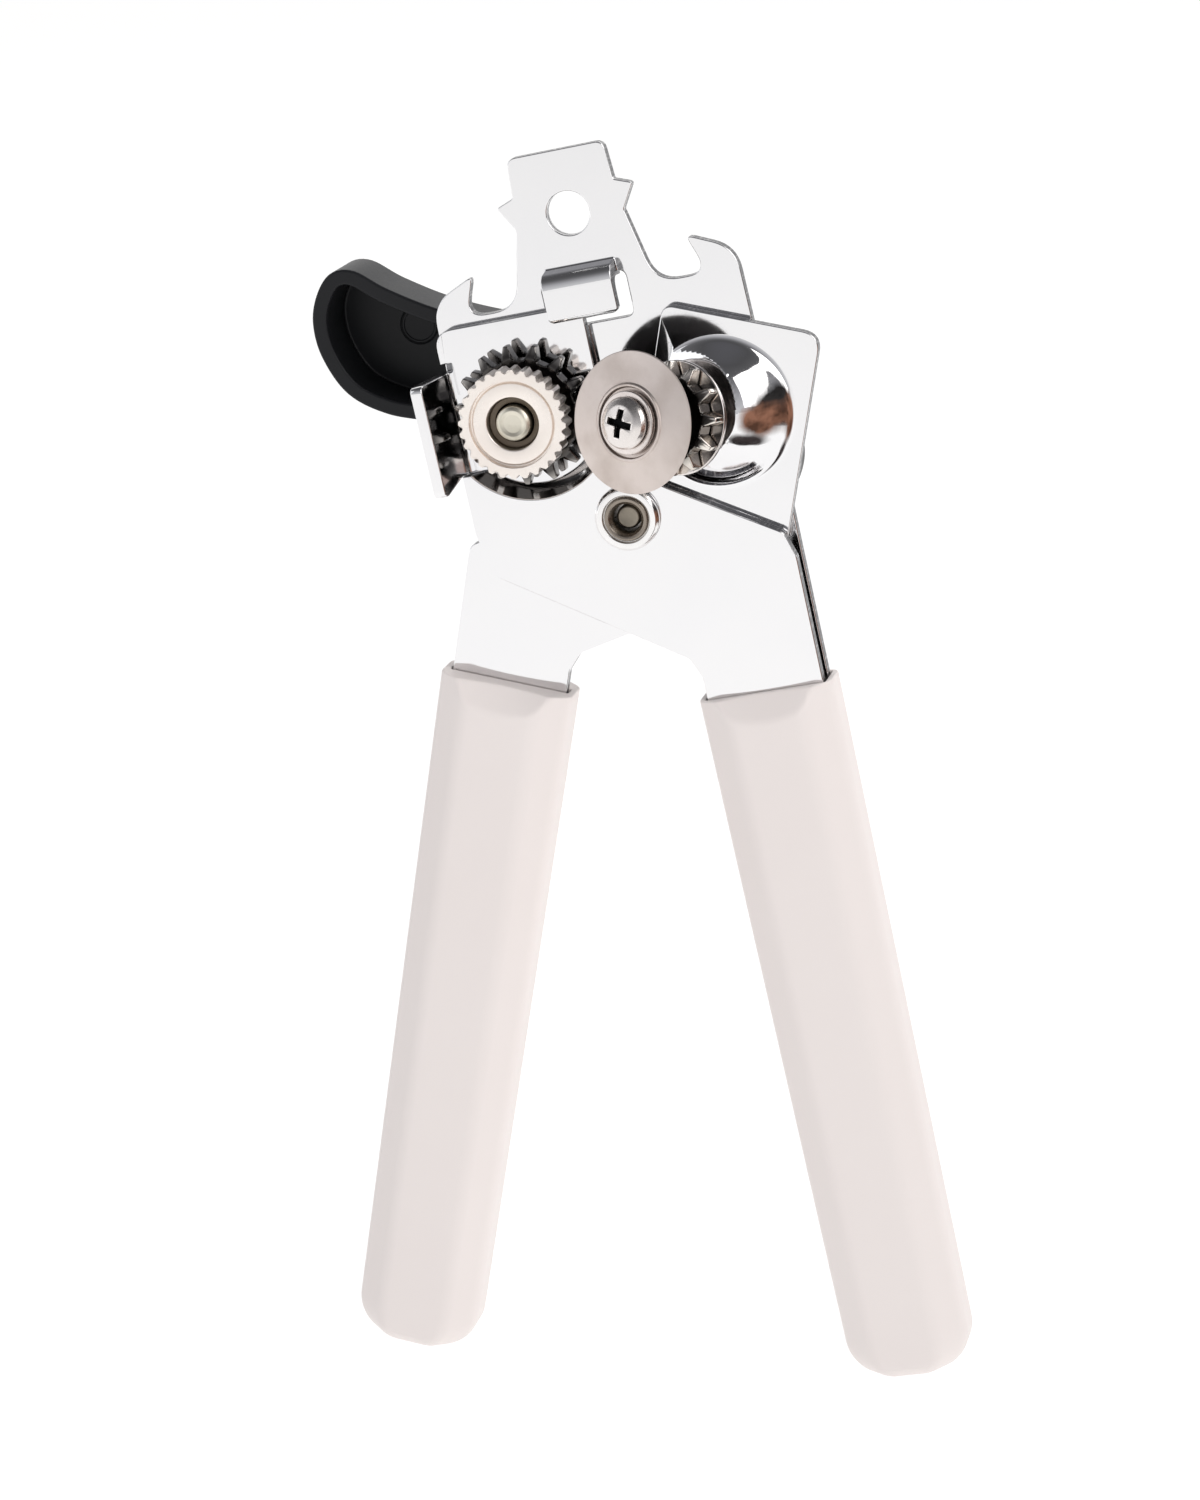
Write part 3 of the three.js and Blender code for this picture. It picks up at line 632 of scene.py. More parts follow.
class Nodes(Tree):
    """The node tree of one material while it is written."""

    def __init__(self, name: str) -> None:
        """Starts a material with a Principled shader.

        Args:
            name: the material's name.
        """
        self.material = bpy.data.materials.new(name)
        self.material.use_nodes = True
        super().__init__(self.material.node_tree)
        self.tree.nodes.clear()
        self.shader = self.tree.nodes.new("ShaderNodeBsdfPrincipled")
        output = self.tree.nodes.new("ShaderNodeOutputMaterial")
        self.tree.links.new(self.shader.outputs[0], output.inputs["Surface"])

    def set(self, **values: object) -> None:
        """Sets or links the shader's own sockets, with _ for a space in a name."""
        for key, value in values.items():
            self._give(self.shader.inputs[key.replace("_", " ")], value)

    def place(self) -> Wire:
        """The spot on the piece, in metres."""
        return self.add("ShaderNodeTexCoord", output="Object")

    def facing(self) -> Wire:
        """The way the surface faces."""
        return self.add("ShaderNodeTexCoord", output="Normal")

    def vector(self, operation: str, first: object, second: object, output: int = 0) -> Wire:
        """Adds one Vector Math node.

        Args:
            operation: the node's operation.
            first: its first vector.
            second: its second vector.
            output: 0 for a vector, 1 for a number.

        Returns:
            The node's output.
        """
        return self.add(
            "ShaderNodeVectorMath", {"operation": operation}, {0: first, 1: second}, output
        )

    def noise(self, at: Wire, scale: float, detail: float = 3.0, rough: float = 0.55) -> Wire:
        """Adds soft noise.

        Args:
            at: where it is read.
            scale: its grains in one metre.
            detail: how many finer layers it has.
            rough: how strong those are.

        Returns:
            The noise, around 0.5.
        """
        values = {"Vector": at, "Scale": scale, "Detail": detail, "Roughness": rough}
        return self.add("ShaderNodeTexNoise", None, values)

    def stretched(self, at: Wire, factors: Point, turn: Point = (0.0, 0.0, 0.0)) -> Wire:
        """Stretches and turns the place that a pattern is read from.

        Args:
            at: the place.
            factors: how much finer the pattern is along each axis.
            turn: the pattern's turn about each axis, in degrees.

        Returns:
            The new place.
        """
        angles = tuple(math.radians(angle) for angle in turn)
        return self.add(
            "ShaderNodeMapping", None, {"Vector": at, "Rotation": angles, "Scale": factors}
        )

    def blend(self, factor: Wire | float, first: object, second: object) -> Wire:
        """Mixes two colours.

        Args:
            factor: 0 for the first, 1 for the second.
            first: one colour.
            second: the other.

        Returns:
            The mixed colour.
        """
        values = {0: factor, 6: first, 7: second}
        return self.add("ShaderNodeMix", {"data_type": "RGBA"}, values, 2)

    def bump(self, height: Wire, deep: float, over: Wire | None = None) -> Wire:
        """Turns a height into a normal.

        Args:
            height: the height, 0 to 1.
            deep: what a height of 1 means, in millimetres.
            over: a normal that this one is added to.

        Returns:
            The normal.
        """
        values: dict[str | int, object] = {"Height": height, "Distance": deep * MM}
        if over is not None:
            values["Normal"] = over
        return self.add("ShaderNodeBump", None, values)


# ---- finishes ----------------------------------------------------------------------------------


@dataclass(frozen=True)
class PlatedSheet:
    """Bright plating over pressed sheet, with duller sheared edges that also carry a painted dark
    reflection.
    """

    name: str
    colour: Colour = (0.87, 0.865, 0.87)
    # near black: partly the sheared edges' duller finish, partly a painted dark reflection
    sheared_edge_and_shade_colour: Colour = (0.07, 0.07, 0.078)
    roughness: float = 0.055
    edge_roughness: float = 0.2
    waviness: float = 0.004
    scratch: float = 0.0006

    def made(self) -> bpy.types.Material:
        """Writes the material.

        Returns:
            The material.
        """
        nodes = Nodes(self.name)
        at = nodes.place()
        flat = nodes.vector("DOT_PRODUCT", nodes.facing(), (0.0, 1.0, 0.0), 1).size()
        edge = 1.0 - flat.spread(0.02, 0.2)
        haze = nodes.noise(at, 45.0)
        film = nodes.noise(at, 420.0, 2.0)
        smear = nodes.noise(nodes.stretched(at, (900.0, 900.0, 60.0), (0.0, 35.0, 0.0)), 1.0, 2.0)
        line_a = nodes.noise(nodes.stretched(at, (5200.0, 5200.0, 90.0), (0.0, 22.0, 0.0)), 1.0)
        line_b = nodes.noise(nodes.stretched(at, (90.0, 4600.0, 5200.0), (0.0, -14.0, 0.0)), 1.0)
        hair = line_a.spread(0.66, 0.74) + line_b.spread(0.68, 0.76)
        tone = nodes.blend(haze.spread(0.35, 0.7) * 0.5, self.colour, (0.835, 0.835, 0.85))
        sheared = nodes.noise(nodes.stretched(at, (2600.0, 120.0, 2600.0)), 1.0)
        # The side walls get a painted dark reflection, mixed with their real duller shear marks.
        dull = nodes.blend(sheared.spread(0.5, 0.72), self.sheared_edge_and_shade_colour, (0.42, 0.41, 0.41))
        colour = nodes.blend(edge, tone, dull)
        rough = (
            self.roughness
            + haze.spread(0.4, 0.75) * 0.035
            + film.spread(0.55, 0.75) * 0.015
            + smear.spread(0.55, 0.8) * 0.03
            + hair * 0.05
            + edge * self.edge_roughness
        )
        wave = nodes.bump(nodes.noise(at, 38.0, 1.0), self.waviness)
        lines = nodes.bump(hair + sheared * edge * 3.0, self.scratch, wave)
        nodes.set(Base_Color=colour, Metallic=1.0, Roughness=rough, Normal=lines)
        return nodes.material


@dataclass(frozen=True)
class TurnedMetal:
    """Metal turned on a lathe, with fine rings about its own axis, and painted shade where asked:
    in the roots between teeth, in a recess and over the rear.
    """

    name: str
    place: Place
    colour: Colour = (0.70, 0.655, 0.62)
    dark: Colour = (0.46, 0.42, 0.385)
    roughness: float = 0.27
    ring_pitch: float = 0.16
    ring_depth: float = 0.0016
    soil: float = 0.5
    root: float = 0.0  # radius of the roots between teeth, with painted shade that fades out by the tip's
    tip: float = 0.0
    pit_shade_reach: float = 0.0  # radius and depth from which a recess gets painted shade
    pit_shade_depth: float = 0.0
    rear_shade_depth: float = 0.0  # depth from which the rear gets painted shade
    core_reach: float = 0.0  # radius within which it has the core's colour
    core_colour: Colour = (0.3, 0.26, 0.22)

    def made(self) -> bpy.types.Material:
        """Writes the material.

        Returns:
            The material.
        """
        nodes = Nodes(self.name)
        start, along = LAYOUT.axis_line(self.place)
        at = nodes.place()
        away = nodes.vector("SUBTRACT", at, tuple(start))
        reach = nodes.vector(
            "LENGTH", nodes.vector("CROSS_PRODUCT", away, tuple(along)), (0.0, 0.0, 0.0), 1
        )
        wander = nodes.noise(at, 260.0, 2.0)
        rings = (reach * (2 * math.pi / (self.ring_pitch * MM)) + wander * 5.0).sine()
        soft = nodes.noise(at, 130.0, 4.0)
        grain = nodes.noise(at, 2600.0, 3.0)
        stain = soft.spread(0.42, 0.72) * self.soil
        colour = nodes.blend(stain, self.colour, self.dark)
        if self.root:
            # Painted shade: the roots between the teeth are darkened nearly to black, fading out
            # toward the tips.
            low = 1.0 - reach.spread(self.root * MM, self.tip * MM)
            colour = nodes.blend(low * 0.92, colour, (0.05, 0.046, 0.044))
        rough = self.roughness + stain * 0.12 + grain.spread(0.35, 0.8) * 0.1 + rings * 0.02
        if self.core_reach:
            inner = 1.0 - reach.past(self.core_reach, 0.12)
            colour = nodes.blend(inner, colour, self.core_colour)
            rough = rough + inner * 0.16
        if self.rear_shade_depth:
            # Painted shade: everything behind the rear depth is darkened nearly to black.
            down = nodes.vector("DOT_PRODUCT", away, tuple(along), 1)
            colour = nodes.blend(down.past(self.rear_shade_depth, 0.08), colour, (0.06, 0.058, 0.06))
        if self.pit_shade_reach:
            # Painted shade: the bottom of a recess is darkened nearly to black.
            down = nodes.vector("DOT_PRODUCT", away, tuple(along), 1)
            sunk = (1.0 - reach.past(self.pit_shade_reach, 0.05)) * down.past(self.pit_shade_depth, 0.2)
            colour = nodes.blend(sunk, colour, (0.012, 0.012, 0.013))
            rough = rough + sunk * 0.4
        cut = nodes.bump(rings * 0.5 + 0.5, self.ring_depth)
        nodes.set(
            Base_Color=colour,
            Metallic=1.0,
            Roughness=rough,
            Normal=nodes.bump(grain, 0.0012, cut),
        )
        return nodes.material


@dataclass(frozen=True)
class Moulded:
    """Moulded plastic with a spark-eroded grain and faint handling marks."""

    name: str
    colour: Colour
    shade: Colour
    roughness: float
    grain_depth: float
    shine: float = 0.5
    marks: float = 0.05

    def made(self) -> bpy.types.Material:
        """Writes the material.

        Returns:
            The material.
        """
        nodes = Nodes(self.name)
        at = nodes.place()
        cloud = nodes.noise(at, 28.0, 3.0)
        grain = nodes.noise(at, 2900.0, 2.0)
        flow = nodes.noise(nodes.stretched(at, (210.0, 210.0, 26.0)), 1.0, 3.0)
        rub = nodes.noise(nodes.stretched(at, (1500.0, 700.0, 130.0), (0.0, 18.0, 0.0)), 1.0, 2.0)
        colour = nodes.blend(cloud.spread(0.3, 0.75) * 0.6, self.colour, self.shade)
        rough = (
            self.roughness
            + cloud.spread(0.3, 0.8) * 0.06
            + grain.spread(0.3, 0.7) * 0.05
            - rub.spread(0.66, 0.8) * self.marks
        )
        long_wave = nodes.bump(flow, 0.02)
        skin = nodes.bump(grain, self.grain_depth, long_wave)
        nodes.set(
            Base_Color=colour,
            Roughness=rough,
            Specular_IOR_Level=self.shine,
            Normal=skin,
        )
        return nodes.material


# ---- pieces ------------------------------------------------------------------------------------

SHARP_ANGLE = 38.0  # degrees between two faces from which the edge between them is sharp


@dataclass(frozen=True)
class Edge:
    """How a piece's sharp edges are broken."""

    width: float = 0.14
    segments: int = 2
    angle: float = 32.0


class Bench:
    """Sets finished solids in place on the frame, as named pieces."""

    def __init__(self) -> None:
        """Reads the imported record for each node's body and finish."""
        record = frame["record"]
        bodies = record["behaviour"]["bodies"]
        self.body = {node: body for body, nodes in bodies.items() for node in nodes}
        self.slot = {part["node"]: part["material_slot"] for part in record["subparts"]}
        self.made: list[bpy.types.Object] = []

    def fit(
        self,
        name: str,
        node: str,
        solid: Solid,
        place: Place,
        finish: bpy.types.Material,
        edge: Edge | None = None,
    ) -> bpy.types.Object:
        """Makes a solid into a piece that stands for a CAD node.

        Args:
            name: the piece's name.
            node: the CAD node that it stands for.
            solid: its shape, in millimetres in its drawing frame.
            place: that drawing frame.
            finish: its material.
            edge: how its sharp edges are broken; none where its profile is already soft.

        Returns:
            The piece.
        """
        mesh = solid.changed(Matrix.Scale(MM, 4) @ LAYOUT.matrix(place)).mesh
        mesh.name = name
        mesh.materials.clear()
        mesh.materials.append(finish)
        mesh.polygons.foreach_set("use_smooth", [True] * len(mesh.polygons))
        mesh.polygons.foreach_set("material_index", [0] * len(mesh.polygons))
        mesh.set_sharp_from_angle(angle=math.radians(SHARP_ANGLE))
        piece = linked(name, mesh)
        if edge is not None:
            bevel = piece.modifiers.new("broken_edges", "BEVEL")
            bevel.width = edge.width * MM
            bevel.segments = edge.segments
            bevel.limit_method = "ANGLE"
            bevel.angle_limit = math.radians(edge.angle)
            bevel.use_clamp_overlap = False
            bevel.miter_outer = "MITER_ARC"
            bevel.harden_normals = False
        weigh = piece.modifiers.new("flat_faces", "WEIGHTED_NORMAL")
        weigh.keep_sharp = edge is None
        weigh.weight = 80
        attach(piece, self.body[node])
        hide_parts(node)
        self.made.append(piece)
        LOG.info("%s stands for %s with %d faces", name, node, len(mesh.polygons))
        return piece


# ---- plates ------------------------------------------------------------------------------------


@dataclass
class Plates:
    """The three pressed plates and the block between the right-hand tangs."""

    half: float = 26.2
    tang_inner: float = 6.4
    tang_deep: float = 60.0
    jaw_top: float = 35.3
    jaw_split: float = 0.7
    arm_split: float = 0.1
    jaw_corner: float = 3.2
    hang_radius: float = 3.6
    tongue_half: float = 5.9
    tongue_root: float = 41.6
    tongue_top: float = 40.9
    tongue_round: float = 4.0
    tongue_tip: float = 33.3
    tongue_corner: float = 1.5
    window_half: float = 7.2
    window_low: float = 31.8
    window_high: float = 39.4
    guide_low: float = 11.4
    guide_high: float = 28.4
    guide_reach: float = 10.0
    guide_outer: float = 27.4
    guide_splay: float = 10.0
    guide_drop: float = 2.0
    recess_radius: float = 12.2
    recess_low: float = 8.6
    rivet_tube: float = 3.3
    bush_radius: float = 4.6
    drill: tuple[float, float] = (-8.0, 5.0)  # depths between which a drill runs
    dome_at: tuple[float, float] = (11.8, 19.7)
    dome_wall: float = 1.4
    seat: float = 4.7
    stud_radius: float = 2.6
    spacer_long: float = 24.0
    grip_top: float = 32.4

    def lower_edge(self) -> list[Point]:
        """The lower outline that the plates share.

        Returns:
            Its (across, up, corner radius) corners, from left to right.
        """
        return [
            (-self.half, 1.2, 3),
            (-24.6, -6, 3),
            (5, -25.2, 2.5),
            (self.tang_inner, -28.6, 2),
            (self.tang_inner, -self.tang_deep),
            (self.half, -self.tang_deep),
        ]

    def pivot_hole(self) -> Solid:
        """A drill for the rivet."""
        return Solid.bar(self.rivet_tube + RUNNING, *self.drill)

    def bush_hole(self) -> Solid:
        """A drill for the feed bush."""
        return Solid.bar(self.bush_radius + RUNNING, *self.drill).moved(*LAYOUT.feed_spot())

    def recess(self, shift: float, floor: float) -> Solid:
        """Fills the recess from a depth forward.

        Args:
            shift: how much wider than the front face's recess.
            floor: the depth of its floor.

        Returns:
            The solid.
        """
        ramp = ARM_BACK - RAISED_BACK
        deep = ramp + 1
        low = self.recess_radius + shift
        reach = 40.0
        cone = Solid.turned(
            [(0, floor - deep), (low + deep, floor - deep), (low, floor), (0, floor)], FINE_SIDES
        )
        above = Solid.block(
            reach, deep, reach, (-low + reach / 2, floor - deep / 2, reach / 2)
        )
        beside = Solid.block(
            reach, deep, reach, (-reach / 2, floor - deep / 2, reach / 2 - self.recess_low)
        )
        return (cone + above + beside).moved(*LAYOUT.feed_spot())

    def guide(self) -> Solid:
        """Bends the strip off the left side, past the edge of the feed wheel.

        Returns:
            The strip.
        """
        inner = -self.guide_outer + SHEET
        end = ARM_FRONT - self.guide_reach
        lean = self.guide_reach * math.tan(math.radians(self.guide_splay))
        low = self.guide_low - self.guide_drop
        section = rounded(
            [
                (inner + 2.5, ARM_BACK),
                (-self.guide_outer, ARM_BACK, 3.2),
                (-self.guide_outer - lean, end),
                (inner - lean, end),
                (inner, ARM_FRONT, 1.2),
                (inner + 2.5, ARM_FRONT),
            ]
        )
        rings = [[(x, y, z) for x, y in section] for z in (low, self.guide_high)]
        strip = Solid.lofted(rings)
        face = rounded(
            [
                (1, self.guide_low),
                (1, self.guide_high + 1),
                (-5, self.guide_high + 1),
                (-5, self.guide_high, 0.5),
                (end, self.guide_high, 1.2),
                (end, low, 1.2),
                (-5, self.guide_low, 1),
            ]
        )
        quarter = Matrix.Rotation(math.radians(90), 4, "Z")
        trim = Solid.slab(face, -5, 5).changed(quarter).moved(-self.guide_outer, 0, 0)
        return strip & trim

    def front(self) -> Solid:
        """Presses the front plate.

        Returns:
            The plate, in the hand frame.
        """
        edge = rounded(
            [
                *self.lower_edge(),
                (self.half, -11.2, 2),
                (24.8, -6.8, 1.5),
                (7.4, 3.7, 1),
                (-self.jaw_split, 9.2, 1),
                (-self.jaw_split, self.jaw_top, 1),
                (-self.half, self.jaw_top, self.jaw_corner),
                (-self.half, self.guide_high),
            ]
        )
        ramp = ARM_BACK - RAISED_BACK
        blank = Solid.slab(edge, RAISED_FRONT, ARM_BACK)
        hollow = self.recess(0, ARM_FRONT)
        keep = self.recess(SHEET * (math.sqrt(2) - 1), ARM_BACK)
        rear = Solid.block(120, ramp, 160, (0, ARM_BACK - ramp / 2 + 0.001, -30))
        notch = Solid.block(
            3, 3 * SHEET, 1.4, (-self.half + 0.4, ARM_FRONT, self.guide_high + 0.7)
        )
        sheet = blank - hollow - (rear - keep)
        return sheet + self.guide() - self.pivot_hole() - self.bush_hole() - notch

    def dome(self, rise: list[Point], plane: float, rear: float) -> Solid:
        """Turns the dome and keeps what is behind a plane across the cutter's axis.

        Args:
            rise: (radius, height above the front face) from the foot to the top.
            plane: where the flat seat is, along the cutter's axis.
            rear: depth of its rear face.

        Returns:
            The solid, in the arm frame.
        """
        curve = smooth_curve(rise, 30, closed=False)
        profile = [(0.0, rear), (curve[0][0], rear)]
        profile += [(radius, ARM_FRONT - height) for radius, height in curve[:-1]]
        profile.append((0.0, ARM_FRONT - curve[-1][1]))
        full = Solid.turned(profile, FINE_SIDES).moved(self.dome_at[0], 0, self.dome_at[1])
        behind = Solid.block(80, 60, 80, (0, plane + 30, 0)).changed(LAYOUT.leaned())
        return full & behind

    def cutter(self) -> Solid:
        """Presses the cutter plate with its dome and the flat seat for the stud.

        Returns:
            The plate, in the arm frame.
        """
        edge = rounded(
            [
                (-self.arm_split, self.jaw_top, 2),
                (self.half, self.jaw_top, self.jaw_corner),
                *mirrored(self.lower_edge()),
                (-self.half, -10.8, 2),
                (-22, -8.2, 3),
                (-12, -4, 2),
                (-7.6, 0, 3),
                (-5.5, 5.3, 3),
                (-self.arm_split, 9, 2),
            ]
        )
        rise = [
            (12.8, 0),
            (12.1, 0.12),
            (11.4, 0.7),
            (10.2, 2),
            (8.5, 3.6),
            (6.3, 5.1),
            (3.5, 6.2),
            (0, 6.7),
        ]
        hollow = [
            (11.5, -2.2),
            (10.7, -1.2),
            (9.5, 0.5),
            (7.9, 2.1),
            (5.8, 3.6),
            (3.3, 4.6),
            (0, 5),
        ]
        sheet = Solid.slab(edge, ARM_FRONT, ARM_BACK)
        raised = self.dome(rise, self.seat, ARM_BACK - 0.4)
        kept = raised & Solid.block(40, 40, 40, (20 - self.arm_split, 0, 20))
        inside = self.dome(hollow, self.seat + self.dome_wall, ARM_BACK + 1)
        stud_hole = Solid.bar(self.stud_radius, self.seat - 1, self.seat + self.dome_wall + 1)
        return sheet + kept - inside - self.pivot_hole() - stud_hole.changed(LAYOUT.leaned())

    def tongue(self) -> Solid:
        """Presses the tongue forward, over the top edge of the front plate.

        Returns:
            The tongue, in the hand frame.
        """
        side = rounded(
            [
                (BACK_REAR, self.tongue_root),
                (BACK_FRONT, self.tongue_root),
                (RAISED_FRONT, self.tongue_top, self.tongue_round),
                (RAISED_FRONT, self.tongue_tip, 0.8),
                (RAISED_BACK, self.tongue_tip, 0.6),
                (RAISED_BACK, self.tongue_top - SHEET, self.tongue_round - SHEET),
                (BACK_REAR, self.tongue_root - 3),
            ],
            12,
        )
        half = self.tongue_half
        rings = [[(x, y, z) for y, z in side] for x in (-half, half)]
        above = self.tongue_root + 1
        face = rounded(
            [
                (-half - 1, above),
                (-half, self.tongue_tip, self.tongue_corner),
                (half, self.tongue_tip, self.tongue_corner),
                (half + 1, above),
            ]
        )
        return Solid.lofted(rings) & Solid.slab(face, RAISED_FRONT - 1, BACK_REAR + 1)

    def back(self) -> Solid:
        """Presses the back plate with its bottle opener hooks, hanging hole and tongue.

        Returns:
            The plate, in the hand frame.
        """
        right = [
            (8.2, 60.4, 1.6),
            (8.6, 54, 0.6),
            (11.6, 52.9, 0.5),
            (9.2, 48.9, 1),
            (11.9, 36.4, 5),
            (20.6, 36.4, 5),
            (18.2, 43, 0.6),
            (25.9, 39.6, 6),
            (self.half, 26),
        ]
        edge = rounded([*self.lower_edge(), *reversed(right), *mirrored(right)])
        wide, low, high, soft = self.window_half, self.window_low, self.window_high, 1.4
        corners = [(-wide, low, soft), (wide, low, soft), (wide, high, soft), (-wide, high, soft)]
        front, back = BACK_FRONT - PAST, BACK_REAR + PAST
        window = Solid.slab(rounded(corners), front, back)
        hang = Solid.bar(self.hang_radius, front, back).moved(0, 0, HANG_HEIGHT)
        sheet = Solid.slab(edge, BACK_FRONT, BACK_REAR) - hang - window
        return sheet - self.pivot_hole() - self.bush_hole() + self.tongue()

    def spacer(self) -> Solid:
        """The block between the two right-hand tangs.

        Returns:
            The block, in the hand frame.
        """
        wide = self.half - self.tang_inner - 2
        front, back = RAISED_BACK + GAP, BACK_FRONT - GAP
        middle = ((self.half + self.tang_inner) / 2, (front + back) / 2)
        down = (self.grip_top + self.tang_deep) / 2
        return Solid.block(wide, back - front, self.spacer_long, (*middle, -down))

    def build(self, bench: Bench) -> None:
        """Makes and dresses the plates.

        Args:
            bench: where the pieces are set in place.
        """
        rolled = Edge(0.2, 2, 40)
        chrome = PlatedSheet("bright_plate").made()
        steel = TurnedMetal("plain_steel_block", Place.HAND, roughness=0.4).made()
        bench.fit("front_jaw_plate", "front_plate", self.front(), Place.HAND, chrome, rolled)
        bench.fit("back_opener_plate", "back_plate", self.back(), Place.HAND, chrome, rolled)
        bench.fit("cutter_arm_plate", "cutter_plate", self.cutter(), Place.ARM, chrome, rolled)
        bench.fit("tang_spacer_block", "tang_spacer", self.spacer(), Place.HAND, steel, Edge(0.3))


# ---- pivot -------------------------------------------------------------------------------------


@dataclass
class Pivot:
    """The hollow rivet that the plates swing on, its core and its washer."""

    head: float = 5.4
    tube: float = 3.3
    bore: float = 2.35
    ring: float = 3.8
    core: float = 2.0
    washer: float = 6.3
    washer_thick: float = 0.8

    def rear(self) -> float:
        """Depth of the seat of the rear flare."""
        return BACK_REAR + GAP + self.washer_thick + GAP

    def rivet(self) -> Solid:
        """Turns the rivet with the groove and ring of its rolled head.

        Returns:
            The rivet.
        """
        seat = RAISED_FRONT - GAP
        back = self.rear()
        return Solid.turned(
            [
                (self.bore, seat + 0.4, 0.4),
                (self.bore + 0.1, seat - 0.7, 0.5),
                (self.bore + 0.6, seat - 1.35, 0.3),
                (self.ring - 0.25, seat - 1.5, 0.3),
                (self.ring - 0.05, seat - 0.7, 0.1),
                (self.ring + 0.1, seat - 0.7, 0.1),
                (self.ring + 0.2, seat - 1.35, 0.15),
                (self.head - 0.5, seat - 1.3, 0.3),
                (self.head, seat - 0.75, 0.3),
                (self.head, seat, 0.15),
                (self.tube, seat),
                (self.tube, back),
                (self.head - 0.6, back, 0.15),
                (self.head - 0.6, back + 0.6, 0.3),
                (self.tube + 0.2, back + 1.1, 0.4),
                (self.bore, back + 0.6, 0.2),
                (self.bore, seat + 0.4, 0.4),
            ],
            HEAD_SIDES,
            5,
        )

    def core_pin(self) -> Solid:
        """Turns the dull core that shows at the bottom of the bore.

        Returns:
            The core.
        """
        return Solid.turned(
            [
                (0, RAISED_FRONT + 0.25),
                (self.core * 0.45, RAISED_FRONT + 0.2, 0.4),
                (self.core - 0.3, RAISED_FRONT + 0.1, 0.3),
                (self.core, RAISED_FRONT + 0.6, 0.2),
                (self.core, self.rear(), 0.2),
                (0, self.rear()),
            ]
        )

    def build(self, bench: Bench) -> None:
        """Makes and dresses the pivot.

        Args:
            bench: where the pieces are set in place.
        """
        plated = TurnedMetal(
            "plated_rivet",
            Place.HAND,
            colour=(0.9, 0.89, 0.885),
            dark=(0.72, 0.69, 0.66),
            roughness=0.09,
            ring_depth=0.0006,
            soil=0.3,
            core_reach=3.72,
        )
        dull = TurnedMetal(
            "dull_core",
            Place.HAND,
            colour=(0.36, 0.32, 0.26),
            dark=(0.17, 0.15, 0.125),
            roughness=0.34,
            soil=0.9,
        )
        steel = TurnedMetal("steel_washer", Place.HAND, roughness=0.24)
        front = BACK_REAR + GAP
        bore = self.tube + RUNNING
        washer = Solid.turned(
            [
                (bore, front, 0.1),
                (self.washer, front, 0.2),
                (self.washer, front + self.washer_thick, 0.2),
                (bore, front + self.washer_thick, 0.1),
                (bore, front, 0.1),
            ]
        )
        bench.fit("rolled_pivot_rivet", "pivot_rivet", self.rivet(), Place.HAND, plated.made())
        bench.fit("pivot_core_pin", "pivot_core", self.core_pin(), Place.HAND, dull.made())
        bench.fit("pivot_rear_washer", "pivot_washer", washer, Place.HAND, steel.made())


# ---- gears -------------------------------------------------------------------------------------


@dataclass(frozen=True)
class Teeth:
    """A gear's teeth."""

    count: int
    tip: float
    root: float
    first: float
    root_wide: float = 2.3
    tip_wide: float = 0.8
    crown_sides: int = 120

    def cut(self, front: float, back: float, crown: list[Point], bore: float) -> Solid:
        """Cuts the gear, with its teeth rounded off toward the front.

        Args:
            front: depth of its front face.
            back: depth of its rear face.
            crown: the (radius, depth) corners that its front is turned to.
            bore: its bore's radius.

        Returns:
            The gear.
        """
        profile = [(0, front), *crown, (crown[-1][0], back), (0, back)]
        turned = Solid.turned(profile, self.crown_sides)
        drill = Solid.bar(bore, front - PAST, back + PAST)
        return (Solid.slab(self.outline(), front, back) & turned) - drill

    def outline(self) -> list[Point]:
        """Draws the gear with rounded tooth tips and roots.

        Returns:
            The outline's points.
        """
        corners: list[Point] = []
        for i in range(self.count):
            middle = self.first + 2 * math.pi * i / self.count
            foot = self.root_wide / 2 / self.root
            crest = self.tip_wide / 2 / self.tip
            for radius, offset, soft in (
                (self.root, -foot, 0.35),
                (self.tip, -crest, 0.3),
                (self.tip, crest, 0.3),
                (self.root, foot, 0.35),
            ):
                angle = middle + offset
                corners.append((radius * math.cos(angle), radius * math.sin(angle), soft))
        return rounded(corners, 4)


def ring(outer: float, inner: float, front: float, back: float, soft: float) -> Solid:
    """Turns a plain ring with soft corners.

    Args:
        outer: its outer radius.
        inner: its bore's radius.
        front: depth of its front face.
        back: depth of its rear face.
        soft: radius of its outer corners; its inner ones are a little sharper.

    Returns:
        The ring.
    """
    sharp = soft * 0.6
    start = (inner, front, sharp)
    return Solid.turned(
        [start, (outer, front, soft), (outer, back, soft), (inner, back, sharp), start]
    )


# ---- feed drive --------------------------------------------------------------------------------


